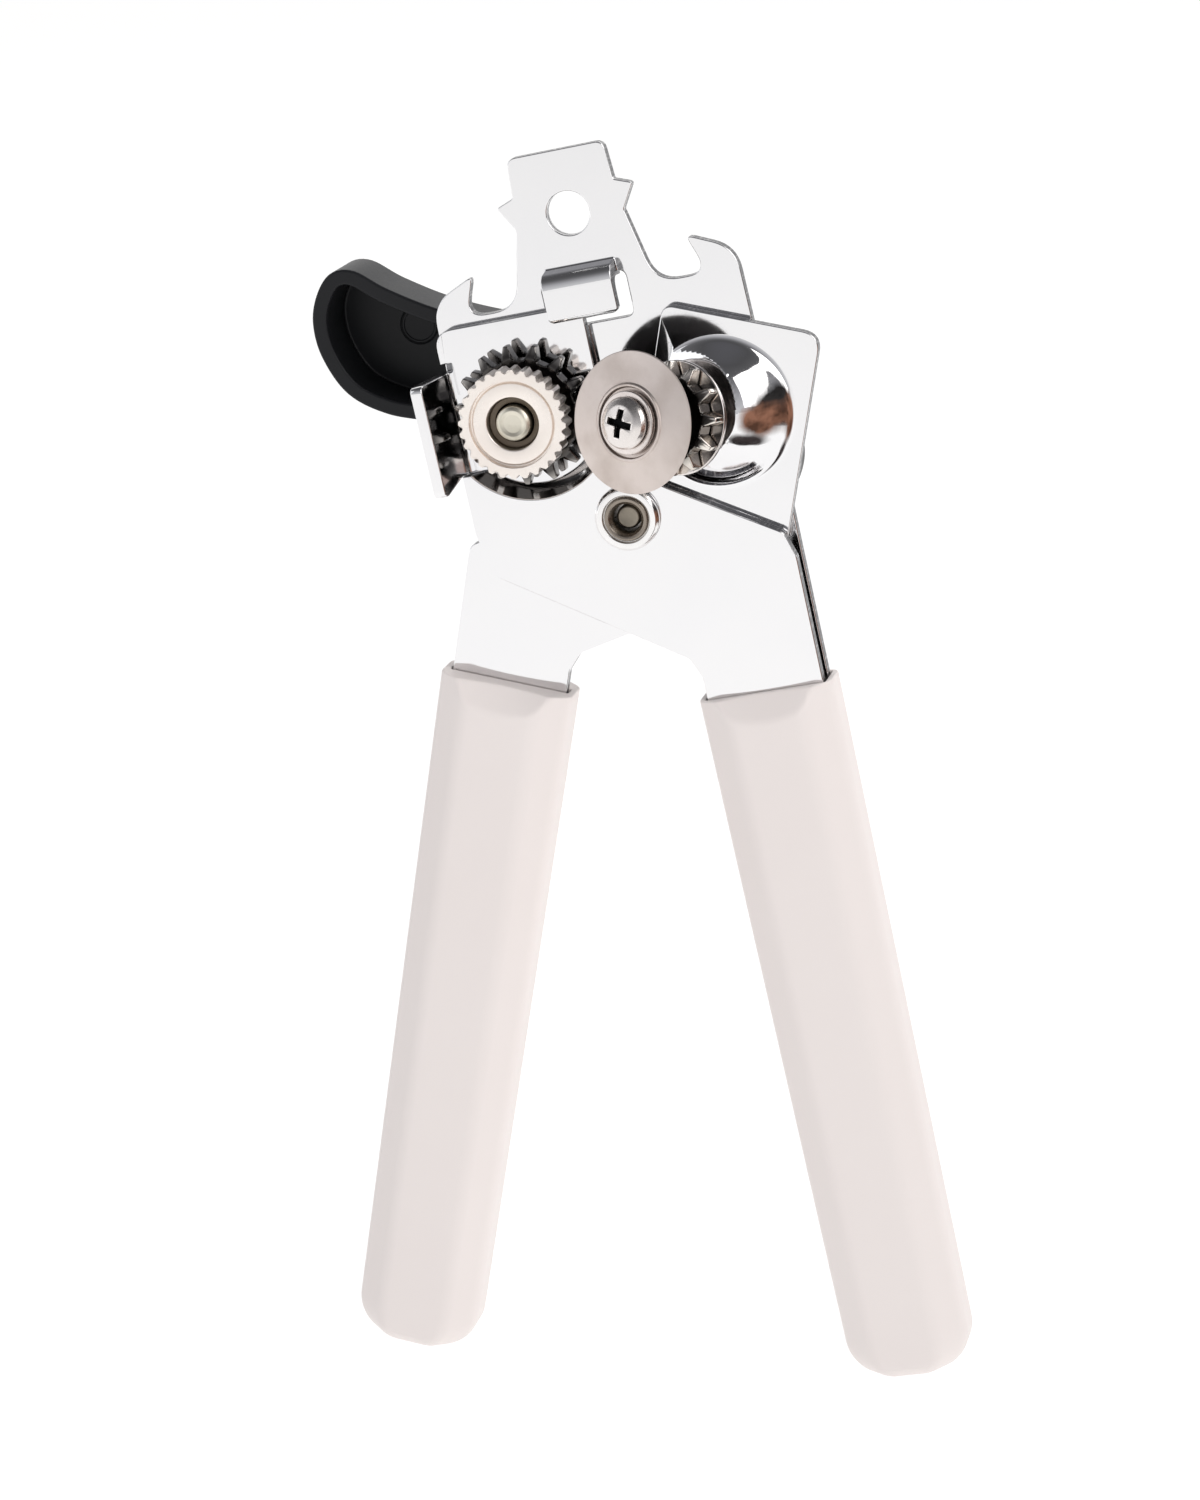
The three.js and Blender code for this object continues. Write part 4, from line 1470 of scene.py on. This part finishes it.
@dataclass
class FeedDrive:
    """The feed wheel with its gear, shaft and bush, and the knob that turns them."""

    shaft: float = 2.9
    bush: float = 4.6
    bush_lip: float = 6.9
    lip_thick: float = 1.2
    gear_back: float = -4.1
    gear_thick: float = 2.8
    thrust: float = 6.6
    wheel: float = 9.0
    wheel_front: float = -13.6
    wheel_rim: float = 4.2
    wheel_hub: float = 6.4
    wheel_ring: float = 7.1
    wheel_eye: float = 3.6
    groove: float = 0.7
    serrations: int = 28
    dish: float = 0.5
    knob_front: float = 12.0
    knob_back: float = 25.0
    knob_wall: float = 2.6
    knob_floor: float = 3.0
    knob_hub: float = 8.4
    insert: float = 5.2
    insert_back: float = 19.0
    dot: float = 2.2
    stop_angle: float = 0.8

    def bore(self) -> float:
        """Radius of the bores on the shaft."""
        return self.shaft + RUNNING

    def bush_rear(self) -> float:
        """Depth of the rear of the bush's lip."""
        return BACK_REAR + GAP + self.lip_thick

    def washer_back(self) -> float:
        """Depth of the rear of the washer before the knob."""
        return self.bush_rear() + GAP + 0.6

    def first_tooth(self) -> float:
        """Angle of the tooth that meets the cutter's gear when the grips are shut."""
        shut = LAYOUT.shut_cutter(self.stop_angle)
        return math.atan2(shut[1] - LAYOUT.feed[1], shut[0] - LAYOUT.feed[0])

    def gear(self) -> Solid:
        """Cuts the feed gear.

        Returns:
            The gear.
        """
        teeth = Teeth(15, 11.6, 9.2, self.first_tooth())
        front = self.gear_back - self.gear_thick
        crown = [(9.6, front, 1.2), (12.4, front + 1.1)]
        return teeth.cut(front, self.gear_back, crown, self.bore())

    def serrated(self) -> Solid:
        """Cuts the feed wheel with its serrated rim, dished face and hub.

        Returns:
            The wheel.
        """
        corners: list[Point] = []
        pitch = 2 * math.pi / self.serrations
        for i in range(self.serrations):
            for radius, part, soft in (
                (self.wheel, 0.0, 0.12),
                (self.wheel, 0.3, 0.2),
                (self.wheel - self.groove, 0.62, 0.12),
            ):
                angle = (i + part) * pitch
                corners.append((radius * math.cos(angle), radius * math.sin(angle), soft))
        back = self.wheel_front + self.wheel_rim
        gear_front = self.gear_back - self.gear_thick
        front = self.wheel_front
        rim = Solid.slab(rounded(corners, 3), front, back)
        hub = Solid.bar(self.wheel_hub, back - 1, gear_front - GAP)
        face = Solid.turned(
            [
                (0, front - 1),
                (self.wheel_ring + 0.05, front - 1),
                (self.wheel_ring + 0.05, front + 0.05),
                (self.wheel_ring, front + self.dish + 0.5, 0.1),
                (self.wheel_ring - 0.25, front + self.dish + 0.5, 0.1),
                (self.wheel_ring - 0.5, front + self.dish, 0.1),
                (self.wheel_eye + 0.75, front + self.dish, 0.3),
                (self.wheel_eye + 0.55, front + self.dish + 1.5, 0.3),
                (0, front + self.dish + 1.5),
            ],
            FINE_SIDES,
        )
        bore = Solid.bar(self.bore(), front - 2, gear_front + 2)
        return rim + hub - face - bore

    def shaft_pin(self) -> Solid:
        """Turns the shaft with its slightly dished, peened end.

        Returns:
            The shaft.
        """
        tip = self.wheel_front + self.dish
        return Solid.turned(
            [
                (0, tip + 0.12),
                (1.5, tip + 0.1, 0.5),
                (self.shaft - 0.75, tip - 0.15, 0.4),
                (self.shaft - 0.05, tip + 0.25, 0.4),
                (self.shaft, tip + 1.0, 0.2),
                (self.shaft, self.insert_back - 1, 0.2),
                (0, self.insert_back - 1),
            ]
        )

    def knob_loop(self) -> list[Point]:
        """The knob's outline, two hollow wings about the drive line.

        Returns:
            Its (across, up) points about the drive line.
        """
        half = [
            (-8, 11.6),
            (-18.7, 14),
            (-27.5, 17.4),
            (-33.2, 20.4),
            (-37.2, 20),
            (-39.8, 16.6),
            (-40.9, 11.6),
            (-39.6, 5.6),
            (-35.4, -0.6),
            (-28.6, -4),
            (-19.5, -5.6),
            (-8, -9.2),
        ]
        return smooth_curve([*half, *((-x, -z) for x, z in half)], 260, closed=True)

    def knob(self) -> Solid:
        """Moulds the knob, open toward the plates.

        Returns:
            The knob, drawn as it stands.
        """
        loop = self.knob_loop()
        floor = self.knob_back - self.knob_floor
        step = self.knob_back - 1.6
        body = Solid.slab(loop, self.knob_front, step)
        cap = Solid.slab(inset(loop, 1.4), step - 0.1, self.knob_back)
        hollow = Solid.slab(inset(loop, self.knob_wall), self.knob_front - 1, floor)
        hub = Solid.bar(self.knob_hub, self.washer_back() + GAP, self.knob_back - 1)
        made = body + cap - hollow + hub
        for side in (1, -1):
            dot = Solid.turned(
                [
                    (0, floor + 0.5),
                    (self.dot + 0.9, floor + 0.5),
                    (self.dot + 0.9, floor - 0.2, 0.12),
                    (self.dot + 0.55, floor - 0.2, 0.12),
                    (self.dot + 0.4, floor - 0.05, 0.1),
                    (0, floor - 0.05),
                ]
            )
            made = made + dot.moved(-25 * side, 0, 9.5 * side)
        return made - Solid.bar(self.insert + RUNNING, 0, self.insert_back + GAP)

    def build(self, bench: Bench) -> None:
        """Makes and dresses the feed drive.

        Args:
            bench: where the pieces are set in place.
        """
        satin = TurnedMetal(
            "satin_feed_wheel",
            Place.FEED,
            colour=(0.95, 0.885, 0.83),
            dark=(0.86, 0.77, 0.70),
            core_reach=4.2,
            core_colour=(0.16, 0.13, 0.10),
        ).made()
        brassy = TurnedMetal(
            "peened_shaft",
            Place.FEED,
            colour=(0.74, 0.70, 0.60),
            dark=(0.36, 0.33, 0.25),
            roughness=0.3,
            soil=0.85,
        ).made()
        toothed = TurnedMetal(
            "feed_gear_steel",
            Place.FEED,
            colour=(0.50, 0.475, 0.45),
            dark=(0.16, 0.15, 0.14),
            roughness=0.12,
            # painted shade in the roots between the teeth
            root=10.1,
            tip=11.9,
        ).made()
        steel = TurnedMetal("turned_steel", Place.FEED, roughness=0.24).made()
        black = Moulded(
            "black_knob",
            colour=(0.0085, 0.009, 0.0105),
            shade=(0.014, 0.0145, 0.0165),
            roughness=0.33,
            grain_depth=0.004,
            shine=0.22,
        ).made()
        lip = BACK_REAR + GAP
        bush = Solid.turned(
            [
                (self.bore(), ARM_FRONT, 0.1),
                (self.bush, ARM_FRONT, 0.3),
                (self.bush, lip),
                (self.bush_lip, lip, 0.2),
                (self.bush_lip, self.bush_rear(), 0.3),
                (self.bore(), self.bush_rear(), 0.2),
                (self.bore(), ARM_FRONT, 0.1),
            ]
        )
        thrust = ring(self.thrust, self.bore(), ARM_FRONT - GAP - 1, ARM_FRONT - GAP, 0.2)
        front = self.bush_rear() + GAP
        washer = ring(self.bush_lip - 0.4, self.bore(), front, self.washer_back(), 0.15)
        insert = ring(self.insert, self.bore(), self.washer_back() + GAP, self.insert_back, 0.3)
        bench.fit("flanged_feed_bush", "feed_bush", bush, Place.FEED, steel)
        bench.fit("feed_thrust_washer", "thrust_washer", thrust, Place.FEED, steel)
        bench.fit("feed_spur_gear", "feed_gear", self.gear(), Place.FEED, toothed, Edge(0.2))
        serrated = self.serrated()
        bench.fit("serrated_feed_wheel", "feed_wheel", serrated, Place.FEED, satin, Edge(0.1))
        bench.fit("peened_feed_shaft", "feed_shaft", self.shaft_pin(), Place.FEED, brassy)
        bench.fit("knob_backing_washer", "knob_washer", washer, Place.FEED, steel)
        bench.fit("knob_metal_insert", "knob_insert", insert, Place.FEED, steel)
        tilt = Matrix.Rotation(math.radians(-HALF_OPEN), 4, "Y")
        knob = self.knob().moved(*(tilt @ Vector(LAYOUT.feed_spot())))
        bench.fit("winged_knob", "knob", knob, Place.WORLD, black, Edge(0.45, 3, 40))


# ---- cutter drive ------------------------------------------------------------------------------


@dataclass
class CutterDrive:
    """The stud in its seat, and the cutter wheel and gear that turn on it."""

    gear_thick: float = 2.8
    flange: float = 9.3
    flange_thick: float = 0.8
    spring: float = 5.0
    spring_thick: float = 0.6
    stud: float = 2.6
    collar: float = 4.0
    sleeve: float = 4.3
    blade: float = 11.4
    blade_plane: float = 10.6
    blade_hub: float = 1.7
    eye: float = 5.8
    washer: float = 5.1
    washer_thick: float = 0.9
    screw: float = 4.2
    screw_head: float = 1.9
    shank: float = 1.3
    screw_long: float = 7.0
    cross_long: float = 4.6
    cross_wide: float = 1.1
    cross_deep: float = 1.2
    seat: float = 4.7
    wall: float = 1.4

    def bore(self) -> float:
        """Radius of the bores on the stud."""
        return self.stud + RUNNING

    def half(self) -> float:
        """Half the gear's thickness."""
        return self.gear_thick / 2

    def flange_back(self) -> float:
        """Depth of the flange's rear face."""
        return self.half() + GAP + self.flange_thick

    def spring_back(self) -> float:
        """Depth of the spring washer's rear face."""
        return self.flange_back() + GAP + self.spring_thick

    def blade_back(self) -> float:
        """Depth of the cutter wheel's rear face."""
        return -self.blade_plane + 0.6

    def blade_face(self) -> float:
        """Depth of the raised rim round the wheel's eye."""
        return self.blade_back() - self.blade_hub

    def eye_floor(self) -> float:
        """Depth of the floor of the wheel's eye."""
        return self.blade_face() + 0.7

    def gear(self, feed: FeedDrive) -> Solid:
        """Cuts the cutter's gear, a space toward the feed gear when the grips are shut.

        Args:
            feed: the drive that it meshes with.

        Returns:
            The gear.
        """
        shut = LAYOUT.shut_cutter(feed.stop_angle)
        toward = Vector((LAYOUT.feed[0] - shut[0], 0, LAYOUT.feed[1] - shut[1]))
        toward.rotate(Matrix.Rotation(-math.radians(feed.stop_angle), 3, "Y"))
        toward.rotate(LAYOUT.leaned().to_3x3().inverted())
        first = math.atan2(toward.z, toward.x) + math.pi / 12
        front = -self.half()
        crown = [(7.2, front, 1.2), (10.2, front + 1.2)]
        return Teeth(12, 9.3, 7.0, first).cut(front, self.half(), crown, self.bore())

    def wheel(self) -> Solid:
        """Turns the dished cutter wheel with its raised eye.

        Returns:
            The wheel.
        """
        face, floor, back = self.blade_face(), self.eye_floor(), self.blade_back()
        slope = [
            (self.eye + 0.55, face + 0.3, 0.3),
            (self.blade - 0.12, -self.blade_plane - 0.02, 0.1),
            (self.blade, -self.blade_plane + 0.06, 0.06),
            (self.blade, -self.blade_plane + 0.15, 0.05),
            (self.blade - 3, back, 0.6),
        ]
        return Solid.turned(
            [
                (self.bore(), floor),
                (self.eye - 0.15, floor, 0.2),
                (self.eye - 0.05, face + 0.02, 0.12),
                (self.eye + 0.3, face, 0.2),
                *slope,
                (self.bore(), back),
                (self.bore(), floor),
            ],
            FINE_SIDES,
        )

    def stud_pin(self) -> Solid:
        """Turns the stud with its collar and riveted rear head.

        Returns:
            The stud.
        """
        tip = self.eye_floor() + 0.1
        shoulder = self.spring_back() + GAP
        head = self.seat + self.wall + GAP
        thread = self.shank + RUNNING
        neck = self.stud - RUNNING
        return Solid.turned(
            [
                (0, tip + self.screw_long),
                (thread, tip + self.screw_long),
                (thread, tip, 0.15),
                (self.stud, tip, 0.2),
                (self.stud, shoulder),
                (self.collar, shoulder, 0.15),
                (self.collar, self.seat - GAP, 0.15),
                (neck, self.seat - GAP),
                (neck, head),
                (self.collar - 0.4, head, 0.15),
                (self.collar - 1, head + 0.8, 0.4),
                (0, head + 1),
            ]
        )

    def screw_pin(self) -> Solid:
        """Turns the screw's domed head and cuts the cross in it.

        Returns:
            The screw.
        """
        seat = self.eye_floor() - GAP - self.washer_thick - GAP
        top = seat - self.screw_head
        shape = Solid.turned(
            [
                (0, top),
                (1.3, top + 0.03, 0.6),
                (self.screw - 1.3, top + 0.32, 1.1),
                (self.screw - 0.35, top + 0.95, 0.7),
                (self.screw, top + 1.5, 0.3),
                (self.screw, seat, 0.15),
                (self.shank, seat),
                (self.shank, self.eye_floor() + self.screw_long - 0.6),
                (0, self.eye_floor() + self.screw_long - 0.6),
            ],
            HEAD_SIDES,
            5,
        )
        long, wide, deep = self.cross_long / 2, self.cross_wide / 2, self.cross_deep
        cross = rounded(
            [
                (-long, -wide, 0.1),
                (-wide, -wide, 0.25),
                (-wide, -long, 0.1),
                (wide, -long, 0.1),
                (wide, -wide, 0.25),
                (long, -wide, 0.1),
                (long, wide, 0.1),
                (wide, wide, 0.25),
                (wide, long, 0.1),
                (-wide, long, 0.1),
                (-wide, wide, 0.25),
                (-long, wide, 0.1),
            ],
            3,
        )
        return shape - Solid.slab(cross, top - 1, top + deep)

    def build(self, bench: Bench, feed: FeedDrive) -> None:
        """Makes and dresses the cutter drive.

        Args:
            bench: where the pieces are set in place.
            feed: the drive that its gear meshes with.
        """
        blade = TurnedMetal(
            "satin_cutter",
            Place.CUTTER,
            colour=(0.68, 0.605, 0.565),
            dark=(0.55, 0.475, 0.43),
            roughness=0.36,
            ring_pitch=0.3,
            ring_depth=0.003,
            soil=0.8,
            # painted shade over the rear of the wheel
            rear_shade_depth=-self.blade_plane + 0.1,
        ).made()
        toothed = TurnedMetal(
            "cutter_gear_steel",
            Place.CUTTER,
            colour=(0.82, 0.77, 0.71),
            dark=(0.36, 0.32, 0.27),
            roughness=0.1,
            # painted shade in the roots between the teeth
            root=6.6,
            tip=8.4,
        ).made()
        plated = TurnedMetal(
            "plated_screw",
            Place.CUTTER,
            colour=(0.80, 0.755, 0.73),
            dark=(0.6, 0.56, 0.53),
            roughness=0.2,
            ring_depth=0.0008,
        )
        top = self.eye_floor() - 2 * GAP - self.washer_thick - self.screw_head
        # painted shade in the cross of the screw's head
        crossed = replace(plated, name="plated_screw", pit_shade_reach=3.0, pit_shade_depth=top + 0.55).made()
        worn = replace(
            plated, name="worn_washer", colour=(0.66, 0.60, 0.57), dark=(0.45, 0.40, 0.37)
        ).made()
        flanged = replace(plated, name="plated_flange", roughness=0.14).made()
        steel = TurnedMetal("stud_steel", Place.CUTTER, roughness=0.22).made()
        flange = ring(self.flange, self.bore(), self.half() + GAP, self.flange_back(), 0.25)
        spring = ring(self.spring, self.bore(), self.flange_back() + GAP, self.spring_back(), 0.15)
        sleeve = ring(self.sleeve, self.bore(), self.blade_back() + GAP, -self.half() - GAP, 0.2)
        seat = self.eye_floor() - GAP
        washer = ring(self.washer, self.shank + RUNNING, seat - self.washer_thick, seat, 0.25)
        place = Place.CUTTER
        bench.fit("riveted_cutter_stud", "cutter_stud", self.stud_pin(), place, steel)
        bench.fit("cutter_spring_washer", "spring_washer", spring, place, steel)
        bench.fit("cutter_gear_flange", "gear_flange", flange, place, flanged)
        bench.fit("cutter_spur_gear", "cutter_gear", self.gear(feed), place, toothed, Edge(0.2))
        # The sleeve shares the gear's material and lies wholly inside its painted root shade.
        bench.fit("cutter_spacer_sleeve", "cutter_sleeve", sleeve, place, toothed)
        bench.fit("dished_cutter_wheel", "cutter_wheel", self.wheel(), place, blade)
        bench.fit("screw_seat_washer", "screw_washer", washer, place, worn)
        bench.fit("cross_head_screw", "cutter_screw", self.screw_pin(), place, crossed, Edge(0.06))


# ---- grips -------------------------------------------------------------------------------------


@dataclass
class Grips:
    """The two moulded grips on the tangs."""

    middle: float = 16.3
    wide: float = 22.8
    taper: float = 0.7
    top: float = 32.4
    end: float = 155.0
    front: float = -8.3
    back: float = 5.7
    face: float = 12.4
    side: float = 7.0
    corner: float = 6.5
    end_soft: float = 2.4
    scallop_tall: float = 4.4
    scallop_deep: float = 2.5
    scallop_arch: float = 0.03
    scallop_soft: float = 0.35
    mouth_rows: int = 18
    long_rows: int = 22
    end_rows: int = 16
    fine_step: float = 0.8

    def section(self) -> list[Point]:
        """Draws the soft eight-sided section.

        Returns:
            Its (across, depth) points.
        """
        half, strip, flat = self.wide / 2, self.face / 2, self.side / 2
        middle = (self.front + self.back) / 2
        return rounded(
            [
                (-half, middle + flat, 2.6),
                (-strip, self.back, 5),
                (strip, self.back, 5),
                (half, middle + flat, 2.6),
                (half, middle - flat, 2.6),
                (strip, self.front, 5),
                (-strip, self.front, 5),
                (-half, middle - flat, 2.6),
            ],
            10,
        )

    def body(self) -> Solid:
        """Skins the grip from mouth to rounded end.

        Returns:
            The grip without its pocket.
        """
        half = self.wide / 2
        middle = (self.front + self.back) / 2
        mouth = self.top + self.scallop_tall + 1
        bend = self.end - self.corner
        rows, long, last = self.mouth_rows, self.long_rows, self.end_rows
        stations = [self.top + (mouth - self.top) * k / rows for k in range(rows)]
        stations += [mouth + (bend - mouth) * k / long for k in range(long + 1)]
        stations += [
            self.end - self.corner * (1 - math.sin(math.pi / 2 * k / last))
            for k in range(1, last + 1)
        ]
        rings: list[list[Point]] = []
        for down in stations:
            narrow = self.taper * (down - self.top) / (self.end - self.top)
            left = max(self.end - down, 0.0)
            across = half - narrow
            if left < self.corner:
                drop = self.corner - left
                across -= self.corner - math.sqrt(max(self.corner**2 - drop**2, 0.0))
            deep = 1.0
            if left < self.end_soft:
                drop = self.end_soft - left
                shrink = self.end_soft - math.sqrt(max(self.end_soft**2 - drop**2, 0.0))
                deep = 1.0 - shrink / (middle - self.front)
            ring: list[Point] = []
            for x, y in self.fine_section():
                depth = middle + (y - middle) * deep
                ring.append((x * across / half, self.sloped(x, depth, down), -down))
            rings.append(ring)
        return Solid.lofted(rings)

    def fine_section(self) -> list[Point]:
        """Adds points along the front strip, so that the slope bends it smoothly.

        Returns:
            The section's (across, depth) points.
        """
        loop = self.section()
        fine: list[Point] = []
        for (x0, y0), (x1, y1) in zip(loop, [*loop[1:], loop[0]]):
            parts = max(1, math.ceil(math.hypot(x1 - x0, y1 - y0) / self.fine_step))
            fine += [
                (x0 + (x1 - x0) * k / parts, y0 + (y1 - y0) * k / parts) for k in range(parts)
            ]
        return fine

    def sloped(self, x: float, y: float, down: float) -> float:
        """Sets a point of the front face back onto the slope at the grip's mouth.

        Args:
            x: its place across the grip.
            y: its depth.
            down: how far it is below the pivot.

        Returns:
            Its depth on the slope, or as it was.
        """
        tall = self.scallop_tall - self.scallop_arch * x**2
        slope = self.front + self.scallop_deep * (1 - (down - self.top) / self.scallop_tall)
        slope -= self.scallop_deep * (1 - tall / self.scallop_tall)
        gap = slope - y
        soft = self.scallop_soft
        if gap <= -soft:
            return y
        if gap >= soft:
            return slope
        return y + (gap + soft) ** 2 / (4 * soft)

    def grip(self, pocket_front: float, pocket_back: float, plates: Plates) -> Solid:
        """Makes one grip with the pocket for its tang or tangs.

        Args:
            pocket_front: depth of the front of the foremost tang.
            pocket_back: depth of the rear of the rearmost tang.
            plates: the plates that it holds.

        Returns:
            The grip.
        """
        wide = plates.half - plates.tang_inner + 2 * GAP
        deep = pocket_back - pocket_front + 2 * GAP
        pocket = Solid.block(
            wide, deep, 2 * plates.tang_deep, (0, (pocket_front + pocket_back) / 2, -GAP)
        )
        return self.body() - pocket

    def build(self, bench: Bench, plates: Plates) -> None:
        """Makes and dresses the grips.

        Args:
            bench: where the pieces are set in place.
            plates: the plates that they hold.
        """
        white = Moulded(
            "white_grip",
            colour=(0.865, 0.80, 0.775),
            shade=(0.84, 0.77, 0.745),
            roughness=0.42,
            grain_depth=0.0022,
            shine=0.42,
        ).made()
        right = self.grip(RAISED_FRONT, BACK_REAR, plates).moved(self.middle, 0, 0)
        left = self.grip(ARM_FRONT, ARM_BACK, plates).moved(-self.middle, 0, 0)
        edge = Edge(0.3, 3, 42)
        bench.fit("right_moulded_grip", "right_grip", right, Place.HAND, white, edge)
        bench.fit("left_moulded_grip", "left_grip", left, Place.ARM, white, edge)


# ---- studio ------------------------------------------------------------------------------------


@dataclass
class Studio:
    """The pale floor, the soft lights and the camera."""

    floor_level: float = -0.2005
    azimuth: float = 14.0
    elevation: float = 16.5
    roll: float = -2.325
    lens: float = 95.47
    camera_at: tuple[float, float, float] = (0.1566, -0.6212, 0.0992)
    floor_glow: float = 0.86
    floor_front: float = -4.0
    floor_rear: float = 1.6
    floor_bend: float = 0.8
    floor_bends: int = 16
    floor_half: float = 5.0
    wall_top: float = 4.0
    light_aim: tuple[float, float, float] = (0.008, 0.0, -0.075)
    card_aim: tuple[float, float, float] = (0.01, 0.0, -0.03)

    def floor(self) -> None:
        """Lays the floor and sweeps it up behind the object."""
        made = bmesh.new()
        level, rear, bend = self.floor_level, self.floor_rear, self.floor_bend
        line: list[Point] = [(self.floor_front, level), (rear, level)]
        for k in range(1, self.floor_bends + 1):
            angle = math.pi / 2 * k / self.floor_bends
            line.append((rear + bend * math.sin(angle), level + bend * (1 - math.cos(angle))))
        line.append((rear + bend, self.wall_top))
        sides = (-self.floor_half, self.floor_half)
        rows = [[made.verts.new((x, y, z)) for x in sides] for y, z in line]
        for first, second in zip(rows, rows[1:]):
            made.faces.new((first[0], first[1], second[1], second[0]))
        mesh = bpy.data.meshes.new("studio_floor")
        made.to_mesh(mesh)
        made.free()
        mesh.polygons.foreach_set("use_smooth", [True] * len(mesh.polygons))
        nodes = Nodes("pale_floor")
        nodes.set(
            Base_Color=(0.25, 0.25, 0.25),
            Roughness=0.9,
            Specular_IOR_Level=0.1,
            Emission_Color=(1.0, 0.995, 0.99),
            Emission_Strength=self.floor_glow,
        )
        mesh.materials.append(nodes.material)
        linked("studio_floor", mesh)

    def light(
        self,
        name: str,
        at: Point,
        size: tuple[float, float],
        power: float,
        tint: Colour,
        mirrored_in_metal: bool = True,
    ) -> None:
        """Hangs one soft light, turned toward the object.

        Args:
            name: the light's name.
            at: where it hangs.
            size: its width and height.
            power: its power in watts.
            tint: its colour.
            mirrored_in_metal: whether bright metal shows it.
        """
        data = bpy.data.lights.new(name, "AREA")
        data.shape = "RECTANGLE"
        data.size, data.size_y = size
        data.energy = power
        data.color = tint
        lamp = linked(name, data)
        lamp.location = at
        lamp.visible_glossy = mirrored_in_metal
        aim = Vector(self.light_aim) - Vector(at)
        lamp.rotation_euler = aim.to_track_quat("-Z", "Y").to_euler()

    def card(self, name: str, at: Point, size: tuple[float, float], colour: Colour) -> None:
        """Stands a card beside the object, seen only in its bright metal.

        Args:
            name: the card's name.
            at: its middle.
            size: its width and height.
            colour: its colour.
        """
        wide, tall = size[0] / 2, size[1] / 2
        made = bmesh.new()
        spots = [(-wide, 0, -tall), (wide, 0, -tall), (wide, 0, tall), (-wide, 0, tall)]
        made.faces.new([made.verts.new(spot) for spot in spots])
        mesh = bpy.data.meshes.new(name)
        made.to_mesh(mesh)
        made.free()
        nodes = Nodes(name)
        here = nodes.place()
        span = nodes.vector("DIVIDE", here, (wide, 1.0, tall))
        cloud = nodes.noise(here, 9.0, 3.0)
        out = nodes.vector("LENGTH", span, (0.0, 0.0, 0.0), 1) + (cloud - 0.5) * 0.5
        dark = tuple(part * 0.3 for part in colour)
        nodes.set(
            Base_Color=(0.0, 0.0, 0.0),
            Roughness=1.0,
            Specular_IOR_Level=0.0,
            Emission_Color=nodes.blend(cloud.spread(0.42, 0.6), colour, dark),
            Emission_Strength=1.0,
            Alpha=1.0 - out.spread(0.55, 1.0),
        )
        mesh.materials.append(nodes.material)
        board = linked(name, mesh)
        board.location = at
        aim = Vector(self.card_aim) - Vector(at)
        board.rotation_euler = aim.to_track_quat("Y", "Z").to_euler()
        board.visible_camera = False
        board.visible_diffuse = False
        board.visible_shadow = False

    def sky(self) -> None:
        """Fills the room with even pale light."""
        world = bpy.data.worlds.new("studio_room")
        bpy.context.scene.world = world
        world.use_nodes = True
        nodes = Tree(world.node_tree)
        way = nodes.add("ShaderNodeTexCoord", output="Generated")
        height = nodes.add("ShaderNodeSeparateXYZ", None, {0: way}, "Z")
        light = nodes.add("ShaderNodeValToRGB", {"stops": self.sky_stops()}, {"Fac": height})
        ground = world.node_tree.nodes["Background"]
        ground.inputs["Strength"].default_value = 1.0
        world.node_tree.links.new(light.socket, ground.inputs["Color"])

    def sky_stops(self) -> list[tuple[float, Colour]]:
        """The room's light from the floor, at 0, up to the ceiling, at 1.

        Returns:
            Each stop's place and colour.
        """
        between = ((0.3, 0.42), (0.5, 0.27), (0.72, 0.13), (0.9, 0.08))
        stops = [(place, (level, level, level * 1.05)) for place, level in between]
        return [(0.0, (0.60, 0.605, 0.62)), *stops, (1.0, (0.10, 0.10, 0.11))]

    def camera(self) -> None:
        """Sets the camera at the object's portrait angle."""
        a, e, r = (math.radians(v) for v in (self.azimuth, self.elevation, self.roll))
        back = Vector((math.sin(a) * math.cos(e), -math.cos(a) * math.cos(e), math.sin(e)))
        level = Vector((math.cos(a), math.sin(a), 0))
        up = back.cross(level)
        right = level * math.cos(r) + up * math.sin(r)
        top = up * math.cos(r) - level * math.sin(r)
        data = bpy.data.cameras.new("portrait_camera")
        data.lens = self.lens
        data.sensor_width = 36.0
        data.sensor_fit = "AUTO"
        data.clip_start = 0.01
        data.clip_end = 20.0
        eye = linked("portrait_camera", data)
        turn = Matrix((right, top, back)).transposed().to_4x4()
        eye.matrix_world = Matrix.Translation(self.camera_at) @ turn
        bpy.context.scene.camera = eye

    def build(self) -> None:
        """Sets the whole studio."""
        self.floor()
        self.sky()
        self.light("key_right", (0.75, -0.55, 0.45), (0.7, 0.9), 4.6, (1.0, 0.985, 0.97))
        self.light("fill_left", (-0.9, -0.5, 0.25), (0.6, 0.9), 1.2, (0.97, 0.985, 1.0))
        self.light("top_soft", (0.0, 0.1, 1.1), (1.1, 1.0), 8.0, (1.0, 1.0, 1.0), False)
        self.card("warm_card", (0.22, -0.125, -0.095), (0.34, 0.24), (0.32, 0.15, 0.095))
        self.card("side_card", (0.42, 0.0, -0.04), (1.0, 0.5), (0.03, 0.028, 0.028))
        self.card("low_card", (0.13, -0.12, -0.185), (0.26, 0.1), (0.05, 0.04, 0.04))
        self.camera()
        bpy.context.scene.view_settings.view_transform = "Standard"


def main() -> None:
    """Builds the studio and then the opener, sub-assembly by sub-assembly."""
    logging.basicConfig(level=logging.INFO, format="%(name)s: %(message)s")
    Studio().build()
    bench = Bench()
    plates = Plates()
    feed = FeedDrive()
    plates.build(bench)
    Pivot().build(bench)
    feed.build(bench)
    CutterDrive().build(bench, feed)
    Grips().build(bench, plates)
    LOG.info("%d pieces stand for the CAD nodes", len(bench.made))


if __name__ == "__main__":
    main()
